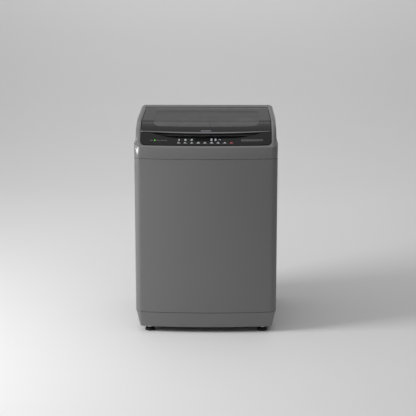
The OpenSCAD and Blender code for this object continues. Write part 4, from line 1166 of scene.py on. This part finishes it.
def tray(shape, x0, x1, y0, y1, z0, z1, wall=1.8, floor=2.5):
    """Open tray: rings up the outside, over the rim and down the inside to the floor."""
    rows = []
    q = np.radians(np.linspace(0, 90, 5))
    for a in q:
        rows.append((3 * (1 - math.sin(a)), z0 + 3 * (1 - math.cos(a))))
    for a in np.radians(np.linspace(0, 180, 7)):
        rows.append((wall / 2 * (1 - math.cos(a)), z1 - wall / 2 + wall / 2 * math.sin(a)))
    for a in q:
        rows.append((wall + 4 * (1 - math.cos(a)), z0 + floor + 4 * (1 - math.sin(a))))
    loops = [np.column_stack([round_loop(x0 + i, x1 - i, y0 + i, y1 - i, max(6 - i, 1.0), 8, 8, 5),
                              np.full(2 * 7 + 2 * 7 + 4 * 6, z)]) for i, z in rows]
    shape.add(np.stack(loops), cap="pole")


def build_drawer():
    """Detergent drawer: two trays side by side behind a front plate that bulges a little and has a grip."""
    x0, x1 = DRAWER_X - 61.0, DRAWER_X + 61.0
    z0 = low("detergent_drawer")[2] + 5.0
    drawer = Shape()
    tray(drawer, x0, x0 + 74.0, 151.5, 254.5, z0, z0 + 50)
    tray(drawer, x0 + 74.6, x1, 151.5, 254.5, z0, z0 + 50)
    for k in range(3):
        bar = x0 + 76 + 14 * k
        drawer.add(block(bar, bar + 6, 175, 235, z0 + 48.6, z0 + 50.2, 1.5, 0.4), cap="pole")
    loops = []
    for i, y in ((4.0, 149.6), (0.6, 149.5), (0.0, 148.9), (0.0, 147.4), (0.5, 146.6), (1.6, 146.15),
                 (8.0, 146.0)):
        lp = round_loop(DRAWER_X - 65 + i, DRAWER_X + 65 - i, z0 - 5 + i, z0 + 57 - i, max(7 - i, 2.0),
                        16, 10, 6)
        dip = 13.0 * smooth((30 - np.abs(lp[:, 0] - DRAWER_X)) / 14) * (lp[:, 1] > z0 + 26)
        loops.append(np.stack([lp[:, 0], np.full(len(lp), y), lp[:, 1] - dip], -1))
    drawer.add(np.stack(loops), cap="ngon")
    drawer.make("detergent_tray", ["pale_plastic"], body="drawer", replaces=["detergent_drawer"],
                slot="pale_plastic", crease=40)


# ---- Basket and pulsator ----


def build_basket():
    """Basket wall: square cells round a cylinder, each a ring of quads between a round hole and the cell's
    edge, pressed into shallow vertical flutes, with the holes' walls joining outside and inside. Plain bands
    above and below. Ring and base are turned sections with ribs."""
    s = bpy.context.scene.washer_sizes
    z0, z1 = low("basket_wall")[2], high("basket_wall")[2]
    r_out = high("basket_wall")[0]
    n_row, n_col, hole = s.hole_rows, s.holes_round, s.hole_r / MM
    band0, band1 = z0 + 50.0, z1 - 22.0
    cell_h, cell_a = (band1 - band0) / n_row, 2 * math.pi / n_col
    half = np.array([[1, 0], [1, 0.5], [1, 1], [0.5, 1], [0, 1], [-0.5, 1], [-1, 1], [-1, 0.5], [-1, 0],
                     [-1, -0.5], [-1, -1], [-0.5, -1], [0, -1], [0.5, -1], [1, -1], [1, -0.5]]) / 2
    ang = np.arctan2(half[:, 1], half[:, 0])

    def wall(theta, z, depth):
        flute = 1.0 * (0.5 + 0.5 * np.cos(theta * n_col)) * smooth((z - z0) / 40) * smooth((z1 - z) / 30)
        r = r_out - 0.1 - flute - depth
        return np.stack([r * np.cos(theta), CENTRE_Y + r * np.sin(theta), z], -1)

    cols, rows = np.meshgrid(np.arange(n_col), np.arange(n_row))
    theta_c = ((cols.ravel() + 0.5) * cell_a)[:, None]
    z_c = (band0 + (rows.ravel() + 0.5) * cell_h)[:, None]
    edge_t, edge_z = theta_c + half[:, 0] * cell_a, z_c + half[:, 1] * cell_h
    hole_t, hole_z = theta_c + hole * np.cos(ang) / r_out, z_c + hole * np.sin(ang)
    dimple_t, dimple_z = theta_c + 2.1 * hole * np.cos(ang) / r_out, z_c + 2.1 * hole * np.sin(ang)
    thick = 1.1
    # Five rings a cell: outer edge, dimple and hole outside, hole and edge inside
    cell = np.stack([wall(edge_t, edge_z, 0), wall(dimple_t, dimple_z, 0), wall(hole_t, hole_z, 0.5),
                     wall(hole_t, hole_z, thick + 0.3), wall(edge_t, edge_z, thick)], 1)
    count, rings, ring_n = cell.shape[:3]
    one = grid_quads(rings, ring_n, wrap_v=True).reshape(-1, 4)[:, [0, 3, 2, 1]]
    basket = Shape()
    basket.add_quads(cell, one[None] + (np.arange(count) * rings * ring_n)[:, None, None])
    # Plain bands share the cells' edge points, two steps to a cell's half
    theta = np.arange(n_col * 4) * cell_a / 4
    for za, zb, close in ((band0, z0, -1), (band1, z1, 1)):
        zs = np.linspace(za, zb - close, 8)
        outer = np.stack([wall(theta, np.full_like(theta, z), 0) for z in zs])
        rim = np.stack([wall(theta, np.full_like(theta, z), d) for z, d in (
            (zb - close * 0.3, 0.1), (zb, 0.4), (zb, 0.8), (zb - close * 0.3, 1.05))])
        inner = np.stack([wall(theta, np.full_like(theta, z), thick) for z in zs[::-1]])
        grid = np.concatenate([outer, rim, inner])
        quads = grid_quads(*grid.shape[:2], wrap_v=True)
        basket.add_quads(grid, quads if close < 0 else quads[..., ::-1])
    basket.make("basket_drum", ["drum_steel"], body="basket", replaces=["basket_wall"], slot="drum_steel",
                crease=50)

    r0, zt = 238.0, 752.0
    ring = rounded([[206, 706], [212, 700.2], [236.4, 700.2], [236.4, 704.2], [r0 + 2.8, 704.2],
                    [r0 + 2.8, zt], [214, zt], [206, 744]], [3, 3, 1, 0.6, 1, 5, 9, 6], 6)
    n = 180
    grid = turned(ring, n, (0, CENTRE_Y))
    a = np.radians(np.arange(n) * 360 / n)[:, None]
    inner = np.hypot(grid[..., 0], grid[..., 1] - CENTRE_Y) < 216
    pull = 0.8 * (0.5 + 0.5 * np.cos(a * 36)) * inner
    grid[..., 0] += pull * np.cos(a)
    grid[..., 1] += pull * np.sin(a)
    balance = Shape()
    balance.add(grid, wrap_u=True)
    balance.make("balance_rim", ["pale_plastic"], body="basket", replaces=["balance_ring"],
                 slot="pale_plastic", crease=40)
    base = rounded([[30, 256], [176, 256], [180, 284], [232.4, 289], [232.4, 258.2], [236.4, 258.2],
                    [236.4, 294], [176, 288], [172, 262], [30, 262]],
                   [0.8, 3, 3, 2, 0.5, 0.8, 1.5, 4, 5, 0.8], 5)
    floor = Shape()
    floor.add(turned(base, 144, (0, CENTRE_Y)), wrap_u=True)
    for k in range(24):
        rib = block(182, 231, -1.3, 1.3, 270, 287.5, 0.9, 0.4)
        floor.add(turned_about(rib, math.radians(7.5 + 15 * k)), cap="pole")
    floor.make("basket_floor", ["pale_plastic"], body="basket", replaces=["basket_base"], slot="pale_plastic")
    build_filters()


def build_filters():
    """Lint filters: a frame that follows the basket's wall with slanted slats, shut by its rounded edges."""
    lint = Shape()
    wall_r = 235.0
    ring = rounded([[0, 0], [0, 4], [-8, 4], [-8, 0]], 1.2, 3)
    y = np.linspace(-36.5, 36.5, 17)
    shape = (len(y), len(ring))
    for sx in (-1, 1):
        for t in np.linspace(-30, 30, 6):
            bar = block(-2.2, 2.2, -3.2, 3.2, 484, 616, 1.8, 1.0)
            bar[..., 0] += sx * 228.6
            bar[..., 1] += t * 1.13
            reach = np.abs(bar[..., 0])
            limit = np.sqrt(np.maximum(wall_r**2 - bar[..., 1] ** 2, 1))
            bar[..., 0] = np.sign(sx) * np.minimum(reach, limit)
            bar[..., 1] += CENTRE_Y
            lint.add(bar, cap="pole")
        for z in np.linspace(484, 612, 9):
            face = np.sqrt(wall_r**2 - y**2)
            lint.add(np.stack([sx * (face[:, None] + ring[None, :, 0]),
                               np.broadcast_to(y[:, None] + CENTRE_Y, shape),
                               z + np.broadcast_to(ring[None, :, 1], shape)], -1))
    lint.make("lint_screens", ["pale_plastic"], body="basket", replaces=["lint_filters"], slot="pale_plastic")


def build_pulsator():
    """Pulsator: rings from the hub to the rim and back underneath. The top is a cone with curved blades, each
    a smooth ridge about a line that bends back with the radius; between them run small holes' dimples."""
    n = 216
    blades = bpy.context.scene.washer_sizes.blades
    a = np.radians(np.arange(n) * 360 / n)
    r_max = 168.0
    rs = np.concatenate([[12.2, 13, 18, 24], np.linspace(28, r_max - 1.5, 34), [r_max - 0.4, r_max]])
    rows = []
    for r in rs:
        cone = np.interp(r, [12, 24, 60, 110, 160, 168], [304, 304, 298, 288, 282, 276.5])
        bend = a * blades - blades * 0.35 * (r / r_max) ** 2
        across = np.abs(np.arctan2(np.sin(bend), np.cos(bend))) / blades * r
        broad = 11.0 + 4.0 * r / r_max
        height = np.interp(r, [20, 34, 60, 120, 148, 158], [0, 20, 21, 21, 16, 0])
        ridge = height * smooth(1 - across / broad) * smooth((r - 22) / 12)
        waves = 0.5 * np.cos(a * blades * 6) * smooth((r - 70) / 20) * smooth((160 - r) / 12)
        rows.append(level_ring(0, CENTRE_Y, r, a, cone + ridge + waves * (ridge < 1)))
    for r, z in ((r_max, 271.0), (r_max - 0.8, 270.2), (r_max - 3.2, 270.2), (r_max - 4.0, 271.5),
                 (158, 277.0), (110, 283.0), (60, 293.0), (27, 297.0), (26, 270.6), (25, 270.2),
                 (13, 270.2), (12.2, 270.8)):
        rows.append(level_ring(0, CENTRE_Y, r, a, z))
    disc = Shape()
    disc.add(np.stack(rows), wrap_u=True)
    disc.make("pulsator_disc", ["pale_plastic"], body="agitator", replaces=["pulsator"], slot="pale_plastic",
              crease=45)
    ring = rounded([[222, 758], [225, 758], [225, 764], [258, 764], [258, 752], [262.3, 752], [262.3, 740.2],
                    [265.4, 740.2], [265.4, 768], [222, 768]], [1, 0.6, 0.6, 0.8, 0.6, 0.6, 0.6, 1, 3, 2], 5)
    lid = Shape()
    lid.add(turned(ring, 180, (0, CENTRE_Y)), wrap_u=True)
    for k in range(16):
        clip = block(263.4, 267.5, -9, 9, 744, 756, 1.2, 0.6)
        lid.add(turned_about(clip, math.radians(11.25 + 22.5 * k)), cap="pole")
    lid.make("tub_cover_ring", ["tub_plastic"], body="tub", replaces=["tub_ring"], slot="tub_plastic")


# ---- Back, feet and springs ----


def build_back():
    """Back panel: a sheet whose stampings are smooth steps of height, with folded edges, and louvres. Screws
    are turned domes with a cross sunk into them. Gland, spigot and inlet are turned sections with ridges."""
    x1, z0, z1 = 288.0, low("rear_panel")[2], high("rear_panel")[2]
    xs, zs = np.linspace(-x1, x1, 97), np.linspace(z0, z1, 133)
    gx, gz = np.meshgrid(xs, zs)

    def raised(cx, cz, w, h, soft, tall):
        fx = smooth((w / 2 - np.abs(gx - cx)) / soft)
        fz = smooth((h / 2 - np.abs(gz - cz)) / soft)
        return tall * fx * fz

    lift = np.zeros_like(gx)
    for k in range(4):
        lift = np.maximum(lift, raised(0, 248 + k * 120, 372, 38, 9.0, 3.2))
    lift = np.maximum(lift, raised(0, 428, 470, 520, 12.0, 1.2))
    for k in range(4):
        for j in range(7):
            lift = np.maximum(lift, raised(-60 + j * 20, 690 + k * 14, 16, 10, 4.5, 2.4))
    back = BACK_Y + 1.3 + lift
    front = back - 1.2
    sheet = np.concatenate([np.stack([gx, back, gz], -1), np.stack([gx, front, gz], -1)[::-1]])
    panel = Shape()
    panel.add(sheet, wrap_u=True, wrap_v=False)
    m, n = sheet.shape[:2]
    for col in (0, n - 1):
        strip = np.stack([sheet[: m // 2, col], sheet[m // 2:, col][::-1]], 1)
        i = np.arange(len(strip) - 1)
        quads = np.stack([2 * i, 2 * i + 1, 2 * i + 3, 2 * i + 2], -1)
        panel.add_quads(strip, quads[:, ::-1] if col else quads)
    piece = panel.make("back_sheet", ["zinc_sheet"], body="cabinet", replaces=["rear_panel"],
                       slot="zinc_sheet")
    turn_outwards(piece.data)
    holes = round_hole(Shape(), 8.9, BACK_Y - 8, BACK_Y + 9, GLAND_AT)
    cut(piece, round_hole(holes, 15.9, BACK_Y - 8, BACK_Y + 9, SPIGOT_AT))

    screws = Shape()
    a = np.radians(np.arange(32) * 360 / 32)
    for sx in (-1, 1):
        for k in range(5):
            x, z = sx * 271.0, 112.0 + 158.0 * k
            rows = []
            for r, y in ((2.0, -6.0), (2.05, 1.2), (4.4, 1.3), (4.5, 1.7), (4.2, 2.9), (3.4, 3.5),
                         (2.6, 3.75), (1.8, 3.85), (1.0, 3.9), (0.4, 3.9)):
                px, pz = r * np.cos(a), r * np.sin(a)
                cross = smooth((0.9 - np.minimum(np.abs(px), np.abs(pz))) / 0.5) * smooth((2.9 - r) / 0.6)
                rows.append(np.stack([x + px, BACK_Y + y - 1.5 * cross * (y > 2), z + pz], -1))
            screws.add(np.stack(rows), cap="pole")
    screws.make("back_screws", ["bright_steel"], body="cabinet", replaces=["rear_panel_screws"],
                slot="screw_steel")

    b = BACK_Y
    gland = rounded([[4.5, b - 6], [9, b - 6], [9, b + 1.2], [14, b + 1.2], [14, b + 5], [9, b + 5.4],
                     [8.4, b + 7.4], [9, b + 8.4], [8.2, b + 10.2], [8.8, b + 11.2], [8.0, b + 14],
                     [4.5, b + 14]],
                    [0.5, 0.5, 0.3, 0.6, 1.4, 0.8, 0.5, 0.5, 0.5, 0.5, 1.0, 0.8], 4)
    part = Shape()
    part.add(turned(gland, 64, GLAND_AT, "y"), wrap_u=True)
    part.make("cord_grommet", ["rubber"], body="cabinet", replaces=["cord_gland"], slot="black_rubber")
    tip = high("drain_spigot")[1]
    barb = rounded([[13, b - 12], [16, b - 12], [16, b + 1.2], [25, b + 1.2], [25, b + 3.4], [15, b + 3.6],
                    [14.6, b + 7], [16, b + 8.2], [14.7, b + 12], [16, b + 13.2], [14.7, b + 17],
                    [15.8, b + 18.2], [14.4, tip], [13, tip]],
                   [0.5, 0.8, 0.4, 1, 1, 1, 0.8, 0.4, 0.8, 0.4, 0.8, 0.4, 1, 0.5], 3)
    part = Shape()
    part.add(turned(barb, 72, SPIGOT_AT, "y"), wrap_u=True)
    part.make("drain_stub", ["dark_plastic"], body="cabinet", replaces=["drain_spigot"], slot="dark_plastic")


def build_valve():
    """Inlet valve: a body and its threaded nose. The thread's radius is a triangle wave of height along the
    nose less the turn, so that it climbs as a helix."""
    part = Shape()
    rear, tip = COVER_REAR, high("inlet_valve")[1]
    n, pitch = 72, 1.8
    a = np.radians(np.arange(n) * 360 / n)
    rows = [upright_ring(VALVE_AT, r, a, rear - 16) for r in (0.2, 12.8)]
    for y in np.linspace(rear - 8, tip - 0.6, 64):
        turn = (y / pitch - a / (2 * math.pi)) % 1.0
        tooth = np.abs(2 * turn - 1)
        fade = smooth((y - rear + 4) / 2) * smooth((tip - 1.2 - y) / 1.5)
        rows.append(upright_ring(VALVE_AT, 13.1 - tooth * fade, a, y))
    for r, y in ((12.2, tip), (9.6, tip), (9.0, tip - 0.6), (9.0, rear - 11.6), (0.2, rear - 12.0)):
        rows.append(upright_ring(VALVE_AT, r, a, y))
    part.add(np.stack(rows), cap="pole")
    collar = rounded([[12.0, rear - 20], [17, rear - 20], [17, rear - 8], [12.0, rear - 8]],
                     [0.5, 1.2, 1.2, 0.5], 4)
    part.add(turned(collar, 64, VALVE_AT, "y"), wrap_u=True)
    part.add(block(122, 178, rear - 62, rear - 20.2, 825, 865, 5, 1.5), cap="pole")
    part.add(block(134, 166, rear - 58, rear - 24, 864, 869.4, 3, 1.2), cap="pole")
    for k in range(4):
        part.add(block(126 + 14 * k, 130 + 14 * k, rear - 63, rear - 19.8, 830, 860, 1.2, 0.5), cap="pole")
    x = np.linspace(10.2, 124.0, 24)[:, None]
    ring = np.radians(np.arange(40) * 9.0)[None, :]
    hose_r = 6.6 + 0.35 * np.cos(x * 1.2)
    part.add(np.stack([x + 0 * ring, rear - 40 + hose_r * np.cos(ring),
                       VALVE_AT[1] + hose_r * np.sin(ring)], -1), cap="pole")
    part.make("water_valve", ["pale_plastic"], body="cabinet", replaces=["inlet_valve"], slot="pale_plastic")


def build_feet():
    """Feet: a turned rubber pad whose rim is scalloped and whose side steps in, a hexagonal collar, and a
    threaded stud, whose radius is a triangle wave of height less the turn."""
    n, pitch = 96, 1.5
    a = np.radians(np.arange(n) * 360 / n)
    for name in sorted(m for m in frame["nodes"] if m.startswith("foot_")):
        x, y = ((low(name) + high(name)) / 2)[:2]
        pad, rows = 21.0, []
        for r, z, notch in ((0.3, 0.6, 0), (10, 0.6, 0), (10.4, 0.0, 0), (13.6, 0.0, 0), (14, 0.6, 0),
                            (16, 0.6, 0), (16.4, 0, 0), (19.6, 0, 0), (20.6, 0.7, 0.2), (pad, 2.2, 1),
                            (pad, 7.4, 1), (20.4, 9.2, 0.6), (18.8, 10.6, 0.1), (14.2, 13.2, 0),
                            (13.0, 13.8, 0)):
            rows.append(level_ring(x, y, r - 0.5 * notch * (0.5 + 0.5 * np.cos(a * 24)), a, z))
        foot = Shape()
        foot.add(np.stack(rows), cap="pole")
        hexagon = 10.4 / np.cos((a + math.pi / 6) % (math.pi / 3) - math.pi / 6)
        rows = []
        for f, z in ((0.5, 13.4), (0.97, 13.6), (1.0, 14.4), (1.0, 20.0), (0.95, 20.9), (0.5, 21.0)):
            r = np.minimum(hexagon, 12.0 if 14 < z < 20.5 else 11.2) * f
            rows.append(level_ring(x, y, r, a, z))
        foot.add(np.stack(rows), cap="pole", slot=1)
        ring = np.radians(np.arange(24) * 15.0)
        rows = []
        for z in np.arange(20.6, 69.9, pitch / 5):
            turn = (z / pitch - ring / (2 * math.pi)) % 1.0
            r = 5.0 - 0.75 * np.abs(2 * turn - 1) - 1.2 * smooth((z - 68.5) / 1.5)
            rows.append(level_ring(x, y, r, ring, z))
        foot.add(np.stack(rows), cap="pole", slot=1)
        foot.make(f"{name}_pad", ["rubber", "bright_steel"], body=BODY_OF[name], replaces=[name],
                  slot="black_rubber", crease=40)


def build_springs():
    """Springs: a round wire carried along a helix whose pitch closes up at both ends. They stretch between
    the cabinet, where the rods hang, and the tub, which stands on them."""
    lo, hi = low("suspension_springs"), high("suspension_springs")
    turns, wire, coil = 7.0, 2.1, 16.4
    t = np.linspace(0, 1, int(turns * 28) + 1)
    climb = t - 0.06 * np.sin(2 * math.pi * t)
    climb = (climb - climb[0]) / (climb[-1] - climb[0])
    rod_x, rod_y = hi[0] - coil - wire, hi[1] - CENTRE_Y - coil - wire
    springs = Shape()
    b = np.radians(np.arange(10) * 36.0)[None, :]
    a = (2 * math.pi * turns * t)[:, None]
    r = coil + wire * np.cos(b)
    z = lo[2] + wire + climb[:, None] * (hi[2] - lo[2] - 2 * wire) + wire * np.sin(b)
    for sx in (-1, 1):
        for sy in (-1, 1):
            springs.add(np.stack([sx * rod_x + r * np.cos(a), CENTRE_Y + sy * rod_y + r * np.sin(a), z], -1))
    piece = springs.make("coil_springs", ["spring_steel"], replaces=["suspension_springs"],
                         slot="screw_steel", crease=60)
    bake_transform(piece)


KEPT = {
    "bottom_guard": "dark_plastic", "control_board": "board_green", "detergent_housing": "pale_plastic",
    "suspension_brackets": "zinc_sheet", "suspension_rods": "spring_steel", "pressure_switch": "pale_plastic",
    "run_capacitor": "cast_alloy", "lid_switch": "dark_plastic", "hinge_pins": "bright_steel",
    "outer_tub": "tub_plastic", "tub_base_plate": "zinc_sheet", "tub_bolts": "bright_steel",
    "shaft_seal": "rubber",
    "gearbox_housing": "cast_alloy", "motor_housing": "cast_alloy", "motor_mounts": "rubber",
    "drive_belt": "rubber", "drain_valve": "dark_plastic", "damper_cups": "dark_plastic",
    "spin_shaft": "bright_steel", "pulsator_screw": "bright_steel", "wash_shaft": "bright_steel",
    "drive_pulley": "cast_alloy", "motor_rotor": "spring_steel",
}


def dress_frame():
    """Gives each kept node its finish."""
    for name, finish_name in KEPT.items():
        piece = frame["nodes"][name]
        piece.data.materials.clear()
        piece.data.materials.append(MATERIALS[finish_name])


def build_stage():
    """Studio: a floor that sweeps up into a backdrop in one curve, soft lamps, and the camera."""
    ys = np.linspace(-7.0, 2.8, 12)
    bend = np.radians(np.linspace(0, 90, 24))[1:]
    y = np.concatenate([ys, 2.8 + 2.8 * np.sin(bend)])
    z = np.concatenate([np.zeros_like(ys), 1.3 * (1 - np.cos(bend))])
    xs = np.linspace(-9, 9, 13)
    grid = np.stack(np.broadcast_arrays(xs[:, None], y, z), -1)
    mesh = bpy.data.meshes.new("studio_floor")
    mesh.from_pydata(grid.reshape(-1, 3).tolist(), [], grid_quads(*grid.shape[:2]).reshape(-1, 4).tolist())
    mesh.materials.append(MATERIALS["floor"])
    floor = place(mesh, "studio_floor", 60, None, ())

    def lamp(name, at, aim, size, power):
        data = bpy.data.lights.new(name, "AREA")
        data.shape = "RECTANGLE"
        data.size, data.size_y = size
        data.energy = power
        obj = bpy.data.objects.new(name, data)
        bpy.context.scene.collection.objects.link(obj)
        away = np.array(at) - np.array(aim)
        yaw = math.atan2(away[0], -away[1])
        pitch = math.atan2(np.hypot(away[0], away[1]), away[2])
        obj.location, obj.rotation_euler = at, (pitch, 0, yaw)

    lamp("key_lamp", (-3.1, -1.15, 1.85), (0.0, 0.0, 0.62), (1.3, 1.9), 116.0)
    lamp("wall_lamp", (0.3, 1.9, 3.1), (0.3, 5.6, 1.0), (6.0, 0.8), 42.0)
    lamp("top_lamp", (0.0, -0.5, 3.4), (0.0, -0.5, 0.0), (4.4, 8.0), 60.0)
    world = bpy.data.worlds.new("studio_air")
    world.use_nodes = True
    world.node_tree.nodes["Background"].inputs["Color"].default_value = (0.80, 0.80, 0.80, 1)
    world.node_tree.nodes["Background"].inputs["Strength"].default_value = 0.32
    bpy.context.scene.world = world
    bpy.context.scene.view_settings.view_transform = "Standard"

    data = bpy.data.cameras.new("studio_camera")
    data.lens, data.sensor_width = 112.14, 36.0
    data.clip_end = 60.0
    camera = bpy.data.objects.new("studio_camera", data)
    camera.location = (0.0558, -5.5824, 1.732)
    camera.rotation_euler = (math.radians(90 - 12.584), 0.0, math.radians(0.5096))
    bpy.context.scene.collection.objects.link(camera)
    bpy.context.scene.camera = camera


# ---- Operators, panel and registration ----


def operator(name, label, text, work):
    """An operator class for one piece or one group of like pieces."""
    def execute(self, context):
        work()
        return {"FINISHED"}

    return type(f"WASHER_OT_{name}", (bpy.types.Operator,), {
        "bl_idname": f"washer.{name}", "bl_label": label, "__doc__": text, "execute": execute,
        "bl_options": {"REGISTER", "UNDO"}})


OPERATORS = [
    operator("finishes", "Finishes", "Makes every material of the machine", make_materials),
    operator("stage", "Stage", "Makes the studio floor, the lamps and the camera", build_stage),
    operator("cabinet", "Cabinet", "Makes the steel wrap and the plinth", build_cabinet),
    operator("top_cover", "Top cover", "Makes the top cover with its rails and the rear deck",
             build_top_cover),
    operator("panel", "Panel", "Makes the control panel and its display window", build_panel),
    operator("keys", "Keys", "Makes the keys with their marks", build_keys),
    operator("marks", "Marks", "Makes the printed marks, the digits, the lamp and the blank plate",
             build_marks),
    operator("lid", "Lid", "Makes the glass, the frame and the trim of the lid", build_lid),
    operator("inner_frame", "Inner frame", "Makes the inner deck and the mouth", build_inner_frame),
    operator("drawer", "Drawer", "Makes the detergent drawer", build_drawer),
    operator("basket", "Basket", "Makes the basket wall, its ring, its base and the lint filters",
             build_basket),
    operator("pulsator", "Pulsator", "Makes the pulsator and the tub's ring", build_pulsator),
    operator("back", "Back", "Makes the back sheet, its screws, the grommet and the drain stub", build_back),
    operator("valve", "Valve", "Makes the water inlet valve", build_valve),
    operator("feet", "Feet", "Makes the levelling feet", build_feet),
    operator("springs", "Springs", "Makes the suspension springs", build_springs),
    operator("frame", "Inside parts", "Gives the kept parts their finishes", dress_frame),
]


class WASHER_PT_parts(bpy.types.Panel):
    """Lists the steps that build the machine."""

    bl_idname = "WASHER_PT_parts"
    bl_label = "Washing machine"
    bl_space_type = "VIEW_3D"
    bl_region_type = "UI"
    bl_category = "Washer"

    def draw(self, context):
        for op in OPERATORS:
            self.layout.operator(op.bl_idname)
        for key in WasherSizes.__annotations__:
            self.layout.prop(context.scene.washer_sizes, key)
        for key in WasherColours.__annotations__:
            self.layout.prop(context.scene.washer_colours, key)


CLASSES = [WasherSizes, WasherColours, *OPERATORS, WASHER_PT_parts]


def register():
    """Registers the classes and their settings."""
    for cls in CLASSES:
        bpy.utils.register_class(cls)
    bpy.types.Scene.washer_sizes = bpy.props.PointerProperty(type=WasherSizes)
    bpy.types.Scene.washer_colours = bpy.props.PointerProperty(type=WasherColours)


def unregister():
    """Takes the settings and the classes away again."""
    del bpy.types.Scene.washer_colours
    del bpy.types.Scene.washer_sizes
    for cls in reversed(CLASSES):
        bpy.utils.unregister_class(cls)


def main():
    """Builds the whole machine and writes the two boxes."""
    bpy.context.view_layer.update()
    register()
    for op in OPERATORS:
        group, name = op.bl_idname.split(".")
        getattr(getattr(bpy.ops, group), name)()


if __name__ == "__main__":
    main()
